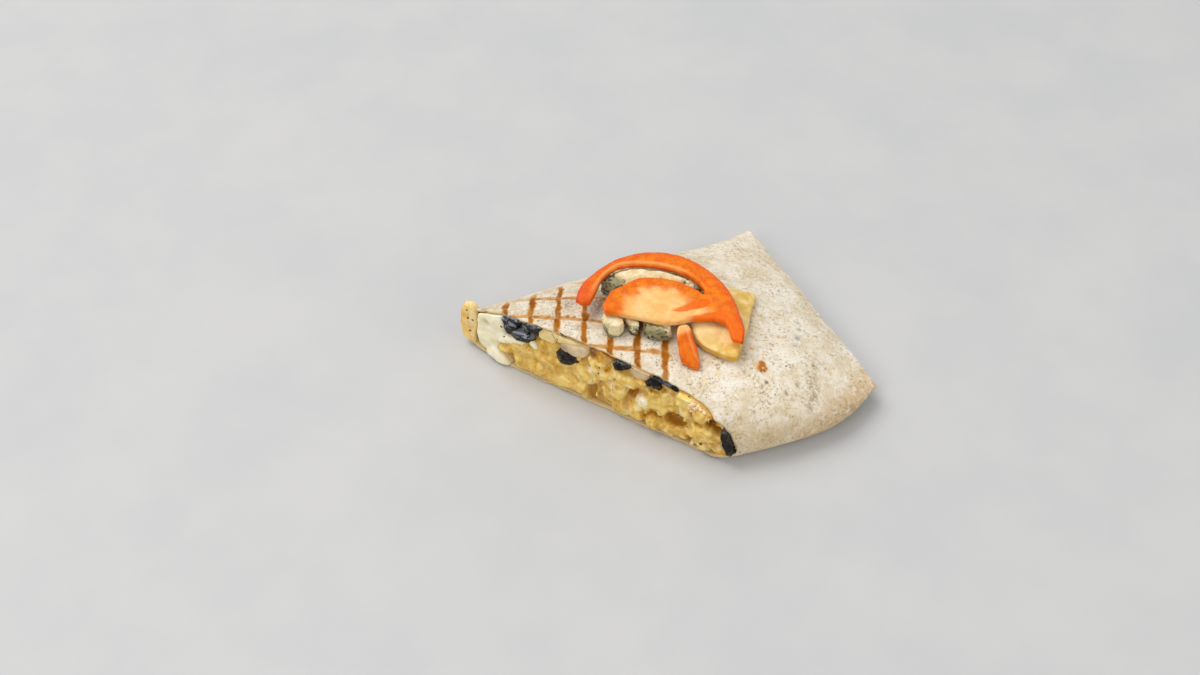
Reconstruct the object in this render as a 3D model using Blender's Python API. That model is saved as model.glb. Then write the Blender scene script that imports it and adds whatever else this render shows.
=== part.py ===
"""Half a french tacos: a grilled tortilla parcel, cut across, with its toppings on it.

The parcel lies on its flat side. +X runs along it to the end where the tortilla is folded in,
+Y runs to its far side and +Z is up. The slanted cut faces -X and -Y. The origin is on the
surface that the parcel lies on, under the middle of its outline.

Sizes are in millimetres until a mesh is made. Two numbers name a point of the parcel's skin:
"along" runs from 0 at the cut to 1 at the folded end, and "across" from -1 at the near side
to 1 at the far side.
"""
import math

import bpy
import bmesh
import numpy as np
from mathutils import Vector, noise

MM = 0.001

# Driving dimensions of the parcel
HEIGHT = 32.0           # top of the parcel above the surface it lies on
FOLD_X = 66.0           # the folded end, in the drawing's own x
FOLD_THICKNESS = 4.0    # pressed edge of the folded end
FOLD_LIFT = 8.0         # height of the parcel's widest line
CUT_X = -33.0           # where the cut crosses the middle line
CUT_SLANT = 0.65        # how far the cut runs back in x for each millimetre across
TORTILLA = 1.6          # thickness of the tortilla
PRESSED_END = 5.0       # solid tortilla at the folded end
GAP = 0.3               # clearance between pieces that touch

# Side outlines of the parcel, (x, y), from the cut to the folded end
NEAR_SIDE = [(-70, -52), (0, -53), (26, -57), (42, -56.8), (54, -54), (66, -48.5)]
FAR_SIDE = [(-70, 53), (-30, 50.5), (20, 48), (45, 48), (58, 49.3), (66, 51)]

# Layers of the filling
CHICKEN_FLOOR = 22.0    # height at which chicken lies on the fries
CREAM_SIDE = 36.5       # the cream sauce lies beyond this y
LAYER_WAVE = 1.3        # unevenness where two layers meet
BULGE = 2.4             # how far the filling swells out of the cut

# Resolution of the meshes
RING = 36               # points round the parcel
OUTER_STATIONS = 17     # rings along the outside of the tortilla
INNER_STATIONS = 11     # rings along its inside and the filling
FACE_ROWS = 6           # rows of points up the cut face

# Olive pieces at the cut face: along the cut, height, ring radius, half thickness, first angle, span
OLIVES = [
    (-36.8, 22.3, 2.9, 1.8, 40, 250),
    (-25.6, 20.2, 6.4, 1.6, 62, 56),
    (-32.0, 20.6, 6.0, 1.4, 236, 72),
    (-11.0, 19.6, 3.1, 2.0, 110, 300),
    (12.9, 26.0, 1.8, 1.5, 160, 250),
    (22.6, 24.2, 5.6, 1.7, -38, 72),
    (34.2, 17.8, 8.6, 1.1, 66, 52),
    (51.0, 11.0, 6.4, 1.8, -40, 76),
]
OLIVE_DEPTH = 2.7       # half the width of an olive slice
OLIVE_PROUD = 1.4       # how far an olive stands out of the filling

# Tomato slice
TOMATO_CENTRE = (-6.3, -2.9)
# Radius of its skin, of its wall's inner side and of its core, each (degrees round the centre, mm)
TOMATO_SKIN = [(-50, 34.6), (-36, 33.2), (-24, 31.5), (-10, 31.0), (2, 31.3), (20, 32.2), (35, 33.4),
               (50, 34.5), (65, 34.7), (85, 34.0), (105, 32.6), (127, 32.2), (142, 31.4)]
TOMATO_INSIDE = [(12, 23.2), (28, 24.8), (40, 25.5), (53, 26.0), (66, 26.8), (82, 28.4), (94, 29.2),
                 (107, 28.3), (119, 27.3), (139, 27.0)]
TOMATO_CORE = [(4, 20.6), (14, 20.8), (26, 19.9), (50, 19.6), (65, 19.2), (75, 20.0), (100, 19.8),
               (115, 20.2), (125, 21.0), (140, 20.8), (154, 20.2)]
TOMATO_THICKNESS = 3.2
TOMATO_LIFT = 38.2      # underside of the slice at its centre
TOMATO_TILT = 0.05      # it sinks this much for each millimetre towards the folded end

CHEESE_THICKNESS = 4.0  # of the yellow slice, at its near corner
CHEESE_THIN = 2.2       # and at its right corner

COLOURS = {
    "tortilla": ((0.83, 0.72, 0.55), 0.70),
    "fries": ((0.80, 0.55, 0.16), 0.50),
    "chicken": ((0.72, 0.52, 0.36), 0.55),
    "cream": ((0.82, 0.76, 0.63), 0.35),
    "olive": ((0.020, 0.018, 0.022), 0.25),
    "tomato": ((0.80, 0.16, 0.03), 0.30),
    "blue_cheese": ((0.78, 0.72, 0.54), 0.55),
    "cheese": ((0.82, 0.62, 0.26), 0.45),
}


# ---------------------------------------------------------------- outlines and surfaces

def smooth_curve(points):
    """A function that passes smoothly through a few (x, y) points."""
    xs, ys = (np.array(values, float) for values in zip(*points))
    slopes = np.gradient(ys, xs)

    def value(x):
        x = np.clip(x, xs[0], xs[-1])
        k = np.clip(np.searchsorted(xs, x, side="right") - 1, 0, len(xs) - 2)
        step = xs[k + 1] - xs[k]
        u = (x - xs[k]) / step
        start = (1 + 2 * u) * (1 - u) ** 2 * ys[k] + u * (1 - u) ** 2 * step * slopes[k]
        stop = u * u * (3 - 2 * u) * ys[k + 1] + u * u * (u - 1) * step * slopes[k + 1]
        return start + stop

    return value


near_side = smooth_curve(NEAR_SIDE)
far_side = smooth_curve(FAR_SIDE)
tomato_skin, tomato_inside, tomato_core = (smooth_curve(radii) for radii in (TOMATO_SKIN, TOMATO_INSIDE, TOMATO_CORE))


def cut_line(y):
    """The x of the cut, which rounds inwards at the parcel's far corner."""
    corner = np.clip((np.asarray(y, float) - 34.0) / 18.0, 0, 1)
    return CUT_X - CUT_SLANT * y + 3.0 * corner ** 2


def widest_height(x):
    """Height of the parcel's widest line, which rises a little at the folded end."""
    return FOLD_LIFT + np.clip((x - 20.0) / 46.0, 0, 1) ** 1.5


def swell(x, length, power):
    """Grows from 0 at the folded end to 1 over the given length."""
    return np.sin(math.pi / 2 * np.clip((FOLD_X - x) / length, 0, 1)) ** power


def skin_top(x, across, inset=0.0):
    half = FOLD_THICKNESS / 2
    rise = half + (HEIGHT - widest_height(x) - half) * swell(x, 62.0, 0.85) - inset
    return widest_height(x) + rise * np.clip(1 - np.abs(across) ** 2.8, 0, 1) ** 0.4545


def skin_bottom(x, across, inset=0.0):
    half = FOLD_THICKNESS / 2
    drop = half + (FOLD_LIFT + 1.0 - half) * swell(x, 40.0, 1.0) - inset
    depth = widest_height(x) - drop * np.clip(1 - np.abs(across) ** 6.0, 0, 1) ** 0.5
    return np.maximum(inset, depth)


def skin_place(along, across, inset=0.0, end_inset=0.0):
    """The (x, y) of a skin point, settled by repeated correction because x and y depend on each other."""
    x = np.full(np.shape(across), CUT_X, float)
    for _ in range(40):
        near = near_side(x) + inset
        far = far_side(x) - inset
        y = (near + far) / 2 + across * (far - near) / 2
        x = cut_line(y) + along * (FOLD_X - end_inset - cut_line(y))
    return x, y


def surface_height(x, y):
    """Height of the parcel's top at a place on it."""
    near, far = near_side(x), far_side(x)
    return skin_top(x, (2 * y - near - far) / (far - near))


def skin_ring(along, inset=0.0, end_inset=0.0):
    """One ring of points round the parcel, over the top from the far side and back below."""
    angle = 2 * math.pi * np.arange(RING) / RING
    across = np.round(np.cos(angle), 9)
    x, y = skin_place(along, across, inset, end_inset)
    top = skin_top(x, across, inset)
    bottom = skin_bottom(x, across, inset)
    return np.stack([x, y, np.where(np.sin(angle) > -1e-9, top, bottom)], axis=1)


def skin_rings(count, inset=0.0, end_inset=0.0):
    """Rings from the cut to the folded end, closer together towards the end."""
    steps = 1 - (1 - np.arange(count) / (count - 1)) ** 1.25
    return [skin_ring(step, inset, end_inset) for step in steps]


OUTER_SKIN = skin_rings(OUTER_STATIONS)
OUTLINE = np.concatenate(OUTER_SKIN)
CENTRE = (OUTLINE.min(axis=0) + OUTLINE.max(axis=0)) / 2 * (1, 1, 0)

CUT_RUN = np.array([CUT_SLANT, -1.0, 0.0]) / math.hypot(CUT_SLANT, 1.0)
CUT_OUT = np.array([-1.0, -CUT_SLANT, 0.0]) / math.hypot(CUT_SLANT, 1.0)


def lumps(point, size, seed=0.0):
    """Smooth unevenness between about -1 and 1, the same on every run."""
    return noise.noise(Vector(point) / size + Vector((seed, seed * 0.7, -seed)))


# ---------------------------------------------------------------- meshes and objects

def material(name):
    found = bpy.data.materials.get(name)
    if found:
        return found
    colour, roughness = COLOURS[name]
    made = bpy.data.materials.new(name)
    made.use_nodes = True
    shader = made.node_tree.nodes["Principled BSDF"]
    shader.inputs["Base Color"].default_value = (*colour, 1.0)
    shader.inputs["Roughness"].default_value = roughness
    shader.inputs["Metallic"].default_value = 0.0
    return made


def solid(name, points, faces, finish):
    """A closed object from points in millimetres, with its faces turned outwards."""
    places = (np.array(points, float) - CENTRE) * MM
    mesh = bpy.data.meshes.new(name)
    mesh.from_pydata(places.tolist(), [], faces)
    work = bmesh.new()
    work.from_mesh(mesh)
    bmesh.ops.recalc_face_normals(work, faces=work.faces)
    bmesh.ops.triangulate(work, faces=work.faces)
    work.to_mesh(mesh)
    work.free()
    mesh.shade_smooth()
    mesh.set_sharp_from_angle(angle=math.radians(50))
    mesh.materials.append(material(finish))
    made = bpy.data.objects.new(name, mesh)
    bpy.context.scene.collection.objects.link(made)
    return made


def cutter(name, points, faces):
    made = solid(name, points, faces, "fries")
    made.hide_render = True
    made.display_type = "WIRE"
    return made


def cut(target, tool, operation):
    modifier = target.modifiers.new(operation.title() + " " + tool.name, "BOOLEAN")
    modifier.object = tool
    modifier.operation = operation
    modifier.solver = "EXACT"


def ring_faces(first, second, count, step=1):
    """Quads between two closed rings of points, given where each ring starts."""
    return [(first + i, first + (i + 1) % count, second + (i + 1) % count, second + i)
            for i in range(0, count, step)]


def end_faces(first, count):
    """Quads that close a flat ring, from its top points to the ones below them."""
    faces = []
    for i in range(count // 2):
        quad = (first + i, first + i + 1, first + (count - i - 1) % count, first + (count - i) % count)
        faces.append(tuple(dict.fromkeys(quad)))
    return faces


def patch_solid(lower, upper):
    """Points and faces of a solid between two grids of points, joined round their edges."""
    rows, columns = lower.shape[:2]
    points = np.concatenate([lower.reshape(-1, 3), upper.reshape(-1, 3)])
    above = rows * columns

    def at(row, column, layer):
        return layer * above + row * columns + column

    faces = []
    for layer in (0, 1):
        for row in range(rows - 1):
            for column in range(columns - 1):
                faces.append((at(row, column, layer), at(row, column + 1, layer),
                              at(row + 1, column + 1, layer), at(row + 1, column, layer)))
    edge = [(0, column) for column in range(columns)]
    edge += [(row, columns - 1) for row in range(1, rows)]
    edge += [(rows - 1, column) for column in range(columns - 2, -1, -1)]
    edge += [(row, 0) for row in range(rows - 2, 0, -1)]
    for here, there in zip(edge, edge[1:] + edge[:1]):
        faces.append((at(*here, 0), at(*there, 0), at(*there, 1), at(*here, 1)))
    return points, faces


# ---------------------------------------------------------------- tortilla

def make_tortilla():
    """The tortilla: an outer and an inner skin, joined at the cut and each closed at the folded end."""
    inner = skin_rings(INNER_STATIONS, TORTILLA, PRESSED_END)
    points = np.concatenate(OUTER_SKIN + inner)
    faces = []
    for station in range(OUTER_STATIONS - 1):
        faces += ring_faces(station * RING, (station + 1) * RING, RING)
    faces += end_faces((OUTER_STATIONS - 1) * RING, RING)
    start = OUTER_STATIONS * RING
    for station in range(INNER_STATIONS - 1):
        faces += ring_faces(start + station * RING, start + (station + 1) * RING, RING)
    faces += end_faces(start + (INNER_STATIONS - 1) * RING, RING)
    faces += ring_faces(0, start, RING)
    return solid("tortilla", points, faces, "tortilla")


# ---------------------------------------------------------------- filling

def cut_face(ring):
    """The lumpy face of the filling at the cut: columns of points between its top and its bottom."""
    rows = []
    half = RING // 2
    for i in range(1, half):
        top, bottom = ring[i], ring[RING - i]
        for row in range(1, FACE_ROWS):
            share = row / FACE_ROWS
            place = bottom + (top - bottom) * share
            dome = math.sin(math.pi * share) ** 0.6 * math.sin(math.pi * i / half) ** 0.8
            out = BULGE * dome * (0.75 + 0.9 * lumps(place, 7.0))
            rows.append(place + CUT_OUT * out)
    return rows


def make_filling(name, finish):
    """Everything inside the tortilla as one solid, before the layers are parted."""
    inset = TORTILLA + GAP
    rings = skin_rings(INNER_STATIONS, inset, PRESSED_END + GAP)
    face = cut_face(rings[0])
    points = np.concatenate(rings + [np.array(face)])
    faces = []
    for station in range(INNER_STATIONS - 1):
        faces += ring_faces(station * RING, (station + 1) * RING, RING)
    faces += end_faces((INNER_STATIONS - 1) * RING, RING)
    start, half, inside = INNER_STATIONS * RING, RING // 2, FACE_ROWS - 1

    def at(column, row):
        """Index of a point of the cut face, its edge being the first ring."""
        if column in (0, half):
            return 0 if column == 0 else half
        if row in (0, FACE_ROWS):
            return RING - column if row == 0 else column
        return start + (column - 1) * inside + row - 1

    for column in range(half):
        for row in range(FACE_ROWS):
            quad = (at(column, row), at(column + 1, row), at(column + 1, row + 1), at(column, row + 1))
            quad = tuple(dict.fromkeys(quad))
            if len(quad) > 2:
                faces.append(quad)
    return solid(name, points, faces, finish)


def chicken_floor(x, y):
    return CHICKEN_FLOOR + LAYER_WAVE * lumps((x, y, 0.0), 17.0, 3.0)


def cream_side(x, z):
    return CREAM_SIDE + LAYER_WAVE * lumps((x, 0.0, z), 13.0, 5.0)


def layer_block(name, wavy, first, second, limit):
    """A block between a wavy surface and a flat limit, made from a function of two axes."""
    lower = np.array([[wavy(u, v) for v in second] for u in first], float)
    upper = lower.copy()
    axis = 2 if name.endswith("height") else 1
    upper[:, :, axis] = limit
    points, faces = patch_solid(lower, upper)
    return cutter(name, points, faces)


def make_layers():
    """Fries below, chicken above them and cream sauce along the far side, a small gap apart."""
    fries = make_filling("fries_layer", "fries")
    chicken = make_filling("chicken_layer", "chicken")
    cream = make_filling("cream_sauce", "cream")
    xs = np.linspace(-80, 75, 18)
    ys = np.linspace(-65, 65, 15)
    zs = np.linspace(-5, 45, 7)
    apart = GAP / 2

    def floor_point(shift):
        return lambda x, y: (x, y, chicken_floor(x, y) + shift)

    def side_point(shift):
        return lambda x, z: (x, cream_side(x, z) + shift, z)

    below = layer_block("below_height", floor_point(-apart), xs, ys, -10)
    above = layer_block("above_height", floor_point(apart), xs, ys, 50)
    beyond = layer_block("beyond_side", side_point(apart), xs, zs, 75)
    within = layer_block("within_side", side_point(-apart), xs, zs, -75)
    cut(fries, below, "INTERSECT")
    cut(chicken, above, "INTERSECT")
    cut(fries, within, "INTERSECT")
    cut(chicken, within, "INTERSECT")
    cut(cream, beyond, "INTERSECT")
    return fries, chicken, cream


# ---------------------------------------------------------------- olives

def olive_points(place, grow):
    """Points of a cut olive ring, a bent bar of oval section, larger all round by the growth."""
    run, height, radius, thickness, first, span = place
    sides, stations = 8, 7
    reach = math.degrees(grow / radius)
    centre = np.array([CUT_X, 0.0, 0.0]) + CUT_RUN * run + np.array([0.0, 0.0, height])
    centre += CUT_OUT * (BULGE * 0.6 + OLIVE_PROUD - OLIVE_DEPTH)
    points = []
    for station in range(stations):
        share = station / (stations - 1)
        angle = math.radians(first - reach + share * (span + 2 * reach))
        outwards = CUT_RUN * math.cos(angle) + np.array([0.0, 0.0, math.sin(angle)])
        slim = 0.72 + 0.28 * math.sin(math.pi * share) ** 0.5
        for side in range(sides):
            turn = 2 * math.pi * (side + 0.5) / sides
            wide = (thickness * slim + grow) * math.cos(turn)
            deep = (OLIVE_DEPTH * slim + grow) * math.sin(turn)
            points.append(centre + outwards * (radius + wide) + CUT_OUT * deep)
    faces = []
    for station in range(stations - 1):
        faces += ring_faces(station * sides, (station + 1) * sides, sides)
    faces.append(tuple(range(sides)))
    faces.append(tuple(range((stations - 1) * sides, stations * sides)))
    return points, faces


def make_olives(layers):
    """Pieces of black olive in the cut face, each in a pocket of the layers round it."""
    for number, place in enumerate(OLIVES, start=1):
        solid(f"olive_{number}", *olive_points(place, 0.0), "olive")
        pocket = cutter(f"pocket_{number}", *olive_points(place, GAP))
        for layer in layers:
            cut(layer, pocket, "DIFFERENCE")


# ---------------------------------------------------------------- toppings

def tomato_underside(x, y):
    return TOMATO_LIFT - TOMATO_TILT * (x - TOMATO_CENTRE[0]) + 0.0 * y


def tomato_arc(radius, first, last, count):
    """Points on an arc round the tomato's centre; the radius may be a function of the angle."""
    points = []
    for angle in np.linspace(first, last, count):
        reach = radius(angle) if callable(radius) else radius
        turn = math.radians(angle)
        points.append((TOMATO_CENTRE[0] + reach * math.cos(turn), TOMATO_CENTRE[1] + reach * math.sin(turn)))
    return points


def tomato_outline():
    """The slice seen from above: skin, slit, scalloped core and the straight edge it was halved on."""

    def scalloped(angle):
        return tomato_core(angle) + 0.35 * math.sin(math.radians(angle * 13))

    def end_middle(angle):
        return (tomato_skin(angle) + tomato_inside(angle)) / 2

    halved = [(-12.9, 5.3), (-8.2, 1.4), (-4.6, -1.6), (0.2, -5.4), (4.9, -7.0), (9.2, -7.4), (13.4, -9.0), (18.6, -10.8),
              (21.4, -13.6), (21.2, -17.2), (20.0, -20.6), (19.6, -23.2)]
    outline = tomato_arc(tomato_skin, -49, 139, 28)
    outline += tomato_arc(end_middle, 142, 142, 1)
    outline += tomato_arc(tomato_inside, 139, 12, 18)
    outline += tomato_arc(scalloped, 5, 153, 20)
    outline += [(TOMATO_CENTRE[0] + x, TOMATO_CENTRE[1] + y) for x, y in halved]
    return outline


def inset_outline(outline, amount):
    """The outline drawn in by a small amount, each point along its two edges' mean normal."""
    points = np.array(outline, float)
    before, after = np.roll(points, 1, axis=0), np.roll(points, -1, axis=0)
    tangent = after - before
    normal = np.stack([-tangent[:, 1], tangent[:, 0]], axis=1)
    normal /= np.linalg.norm(normal, axis=1)[:, None]
    return points + normal * amount


def make_tomato():
    """Half a slice of tomato, its edges slightly rounded."""
    outline = tomato_outline()
    soft = 0.7
    levels = [(soft, 0.0), (0.0, soft), (0.0, TOMATO_THICKNESS - soft), (soft, TOMATO_THICKNESS)]
    points = []
    for inset, height in levels:
        for x, y in inset_outline(outline, inset):
            points.append((x, y, tomato_underside(x, y) + height))
    count = len(outline)
    faces = []
    for level in range(len(levels) - 1):
        faces += ring_faces(level * count, (level + 1) * count, count)
    faces.append(tuple(range(count)))
    faces.append(tuple(range((len(levels) - 1) * count, len(levels) * count)))
    return solid("tomato_slice", points, faces, "tomato")


def make_chunk(name, outline, underside, upper, finish, rough=0.0, per_side=3):
    """A piece with soft edges between two surfaces, its outline drawn in round after round to its middle."""
    corners = np.array(outline, float)
    edge = []
    for here, there in zip(corners, np.roll(corners, -1, axis=0)):
        edge += [here + (there - here) * k / per_side for k in range(per_side)]
    edge = np.array(edge)
    edge = 0.25 * np.roll(edge, 1, axis=0) + 0.5 * edge + 0.25 * np.roll(edge, -1, axis=0)
    middle = edge.mean(axis=0)
    count = len(edge)
    soft = 0.7
    levels = [(0.4, 0.0), (0.92, 0.0), (1.0, soft), (1.0, -soft), (0.92, 0.0), (0.4, 0.0)]
    points = []
    for number, (scale, shift) in enumerate(levels):
        surface = underside if number < 3 else upper
        for x, y in middle + (edge - middle) * scale:
            uneven = rough * lumps((x, y, number * 2.0), 3.0) if number > 2 else 0.0
            points.append((x, y, surface(x, y) + shift + uneven))
    faces = []
    for level in range(len(levels) - 1):
        faces += ring_faces(level * count, (level + 1) * count, count)
    low, high = len(points), len(points) + 1
    points.append((*middle, underside(*middle)))
    points.append((*middle, upper(*middle)))
    last = (len(levels) - 1) * count
    for i in range(count):
        faces.append((i, (i + 1) % count, low))
        faces.append((last + i, last + (i + 1) % count, high))
    return solid(name, points, faces, finish)


def on_parcel(x, y):
    return float(surface_height(x, y)) + GAP


def under_tomato(x, y):
    return float(tomato_underside(x, y)) - GAP


def make_blue_cheese():
    """Three chunks under the core's edge and a wider slab below the slit."""
    chunks = [
        [(-22.5, 9.0), (-25.4, 6.0), (-24.8, 1.0), (-21.8, -1.6), (-18.8, -1.0), (-17.9, 4.6)],
        [(-15.4, 5.2), (-17.2, 2.0), (-16.8, -2.4), (-14.2, -4.4), (-13.2, -1.4), (-13.2, 3.0)],
        [(-9.0, 2.0), (-12.4, -2.6), (-12.7, -6.8), (-8.9, -10.8), (-4.4, -12.6), (-2.6, -9.4), (-3.4, -2.0)],
    ]
    for number, outline in enumerate(chunks, start=1):
        make_chunk(f"blue_cheese_{number}", outline, on_parcel, under_tomato, "blue_cheese", 0.25)
    angles = np.radians(np.linspace(22, 121, 13))
    radii = np.linspace(14.0, 30.2, 4)
    lower = np.zeros((len(angles), len(radii), 3))
    upper = lower.copy()
    for i, angle in enumerate(angles):
        for j, radius in enumerate(radii):
            x = TOMATO_CENTRE[0] + radius * math.cos(angle)
            y = TOMATO_CENTRE[1] + radius * math.sin(angle)
            lower[i, j] = (x, y, on_parcel(x, y))
            upper[i, j] = (x, y, under_tomato(x, y) - 0.2 + 0.2 * lumps((x, y, 0.0), 5.0))
    solid("blue_cheese_4", *patch_solid(lower, upper), "blue_cheese")


def make_cheese_slice():
    """A thick slice of yellow cheese that lies on the parcel, partly under the tomato."""

    def upper(x, y):
        thickness = np.interp(x, (18.0, 34.0), (CHEESE_THICKNESS, CHEESE_THIN))
        return min(on_parcel(x, y) + thickness, under_tomato(x, y))

    outline = [(13.2, -31.0), (24.2, -19.2), (37.2, -2.4), (31.8, 5.2), (22.0, 2.0), (4.6, -8.0), (3.2, -16.5),
               (4.2, -21.2), (8.6, -26.6)]
    return make_chunk("cheese_slice", outline, on_parcel, upper, "cheese", per_side=4)


def make_tomato_strip():
    """A narrow strip cut from the slice, which leans from its edge down on to the tortilla."""

    def upper(x, y):
        lean = np.clip((y + 31.0) / 19.5, 0, 1) ** 1.2
        return on_parcel(x, y) + 1.7 + 6.8 * lean

    def underside(x, y):
        return max(on_parcel(x, y), upper(x, y) - 3.2)

    outline = [(-1.9, -11.3), (-3.3, -14.1), (-5.4, -18.8), (-6.9, -23.0), (-6.7, -27.6), (-4.2, -30.2), (-1.9, -28.2),
               (0.0, -25.6), (0.9, -22.0), (1.3, -17.0), (1.6, -11.9)]
    return make_chunk("tomato_strip", outline, underside, upper, "tomato")


def main():
    for existing in list(bpy.data.objects):
        bpy.data.objects.remove(existing, do_unlink=True)
    make_tortilla()
    make_olives(make_layers())
    make_tomato()
    make_tomato_strip()
    make_blue_cheese()
    make_cheese_slice()


main()
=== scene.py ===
# %% [markdown]
# # Half of a grilled french tacos
#
# This lesson dresses one food model: half of a folded, grilled tortilla parcel that was cut on a
# slant. Its filling shows at the cut, and slices of tomato and cheese lie on top of it. The
# dimensions come from a CAD model, the frame. Each step builds one ingredient as a real mesh,
# gives it a procedural material and says which CAD piece it stands for.

# %% Tools and the frame
import math
from contextlib import contextmanager

import bmesh
import bpy
import numpy as np
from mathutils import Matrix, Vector, noise
from mathutils.bvhtree import BVHTree
from mathutils.kdtree import KDTree


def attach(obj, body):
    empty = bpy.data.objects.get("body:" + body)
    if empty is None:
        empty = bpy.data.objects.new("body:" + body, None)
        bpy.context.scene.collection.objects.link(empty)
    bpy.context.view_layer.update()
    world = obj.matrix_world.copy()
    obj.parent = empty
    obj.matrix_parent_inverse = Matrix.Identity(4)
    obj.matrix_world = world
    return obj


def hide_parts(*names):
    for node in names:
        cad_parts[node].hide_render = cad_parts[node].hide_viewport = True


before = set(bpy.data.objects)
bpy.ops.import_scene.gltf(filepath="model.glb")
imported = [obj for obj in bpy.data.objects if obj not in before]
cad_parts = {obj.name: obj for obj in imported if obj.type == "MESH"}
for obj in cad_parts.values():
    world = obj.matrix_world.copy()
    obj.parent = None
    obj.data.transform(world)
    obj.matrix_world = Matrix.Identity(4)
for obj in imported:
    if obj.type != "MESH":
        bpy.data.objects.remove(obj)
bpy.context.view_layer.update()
scene = bpy.context.scene
MM = 0.001
print("CAD pieces:", ", ".join(sorted(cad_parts)))

# %% [markdown]
# ## Camera and light
#
# The camera stands high above the near side and a little to the left, and looks down at the cut
# and the toppings. The light is soft, as from a big window behind the food, with pale light from
# all round. That keeps the shadows short, and the window's reflection shows which surfaces are
# wet. Two weaker lamps stand in for reflectors.

# %% Camera
def new_object(name, data):
    """A new object in the scene that holds a mesh, a lamp or a camera."""
    made = bpy.data.objects.new(name, data)
    scene.collection.objects.link(made)
    return made


def look(thing, place, target):
    """Puts a camera or a lamp at a place and turns it to a target."""
    thing.location = place
    thing.rotation_euler = (Vector(target) - Vector(place)).to_track_quat("-Z", "Y").to_euler()


camera = new_object("camera", bpy.data.cameras.new("camera"))
camera.data.lens = 47.8
camera.data.sensor_width = 36
look(camera, (-0.2112, -0.3691, 0.4723), (-0.0154, 0.0323, 0.0))
scene.camera = camera
scene.view_settings.view_transform = "Standard"
print("camera:", round(camera.location.length, 2), "metres from the food")

# %% Light
LIT_PLACE = (0.0, 0.0, 0.02)


def lamp(name, place, size, power, colour):
    """A square soft light that points at the food."""
    light = bpy.data.lights.new(name, "AREA")
    light.size = size
    light.energy = power
    light.color = colour
    look(new_object(name, light), place, LIT_PLACE)
    print(f"{name}: {size} metres wide, {power} watts")


lamp("window", (-0.70, 1.00, 2.20), 1.7, 40.0, (1.0, 0.985, 0.96))
lamp("side reflector", (-1.60, -0.80, 1.40), 0.8, 11.5, (1.0, 0.98, 0.94))
lamp("near reflector", (1.20, -1.60, 1.30), 1.6, 13.0, (1.0, 0.98, 0.94))
world = bpy.data.worlds.new("studio")
world.use_nodes = True
world.node_tree.nodes["Background"].inputs["Color"].default_value = (0.97, 0.98, 1.0, 1)
world.node_tree.nodes["Background"].inputs["Strength"].default_value = 0.50
scene.world = world

# %% [markdown]
# ## Small helpers for node trees
#
# Every material and every Geometry Nodes tree below is wired in code. One helper adds a node and
# fills or links its inputs, so that a tree reads like a recipe. Colours are written as the 0 to
# 255 values that a screen shows, and turned into the linear values that Blender calculates with.

# %% Node helpers
def add(tree, kind, inputs=None, **settings):
    """A new node. An input given as a socket is linked, any other value is set."""
    node = tree.nodes.new(kind)
    for name, value in settings.items():
        setattr(node, name, value)
    for key, value in (inputs or {}).items():
        if isinstance(value, bpy.types.NodeSocket):
            tree.links.new(value, node.inputs[key])
        else:
            node.inputs[key].default_value = value
    return node


def shown_as(red, green, blue):
    """The linear colour for the values 0 to 255 that a screen shows."""
    shares = np.array([red, green, blue]) / 255
    linear = np.where(shares <= 0.04045, shares / 12.92, ((shares + 0.055) / 1.055) ** 2.4)
    return (*linear.tolist(), 1.0)


def mixed(tree, share, first, second):
    """Two colours mixed by a share. A colour is a socket, or three values from 0 to 255."""
    first, second = (shown_as(*tone) if isinstance(tone, tuple) else tone for tone in (first, second))
    node = add(tree, "ShaderNodeMix", {0: share, 6: first, 7: second}, data_type="RGBA")
    return node.outputs[2]


def maths(tree, operation, first, second=0.0, third=0.0):
    """One step of arithmetic on values or sockets."""
    node = add(tree, "ShaderNodeMath", {0: first, 1: second, 2: third}, operation=operation)
    return node.outputs[0]


def times(tree, *values):
    """Several values multiplied."""
    product = values[0]
    for value in values[1:]:
        product = maths(tree, "MULTIPLY", product, value)
    return product


def tint(tree, colour, tone, *shares):
    """The colour, changed towards a tone by the product of some shares."""
    return mixed(tree, times(tree, *shares), colour, tone)


def fade(tree, value, start, stop, low=0.0, high=1.0):
    """Goes smoothly from low to high while the value goes from start to stop."""
    node = add(tree, "ShaderNodeMapRange", {0: value, 1: start, 2: stop, 3: low, 4: high},
               interpolation_type="SMOOTHSTEP")
    return node.outputs[0]


def noise_at(tree, position, frequency, detail, **others):
    """A noise texture with so many waves a millimetre."""
    inputs = {name.title(): value for name, value in others.items()}
    inputs.update(Vector=position, Scale=frequency, Detail=detail)
    return add(tree, "ShaderNodeTexNoise", inputs).outputs["Fac"]


def attribute(tree, name):
    """A value that was painted on the mesh's points."""
    return add(tree, "ShaderNodeAttribute", attribute_name=name).outputs["Fac"]

# %% [markdown]
# ## Shared shader groups
#
# Cloudy patches and small specks come back in almost every ingredient, and the grill has left
# two sets of bars. Each of these effects is a node group that is built once. A material places
# it and sets its sizes in millimetres, which the group turns into texture scales.

# %% Patches
def new_group(name, inputs):
    """An empty shader group: a position and named numbers go in, and a mask comes out."""
    tree = bpy.data.node_groups.new(name, "ShaderNodeTree")
    tree.interface.new_socket("Position", in_out="INPUT", socket_type="NodeSocketVector")
    for label, value in inputs.items():
        socket = tree.interface.new_socket(label, in_out="INPUT", socket_type="NodeSocketFloat")
        socket.default_value = value
    tree.interface.new_socket("Mask", in_out="OUTPUT", socket_type="NodeSocketFloat")
    return tree, add(tree, "NodeGroupInput").outputs, add(tree, "NodeGroupOutput").inputs


patches, given, result = new_group("patches", {"Size": 5.0, "Start": 0.45, "Stop": 0.6, "Detail": 3.0})
frequency = maths(patches, "DIVIDE", 1.0, given["Size"])
cloud = noise_at(patches, given["Position"], frequency, given["Detail"], roughness=0.6)
patches.links.new(fade(patches, cloud, given["Start"], given["Stop"]), result["Mask"])

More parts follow.
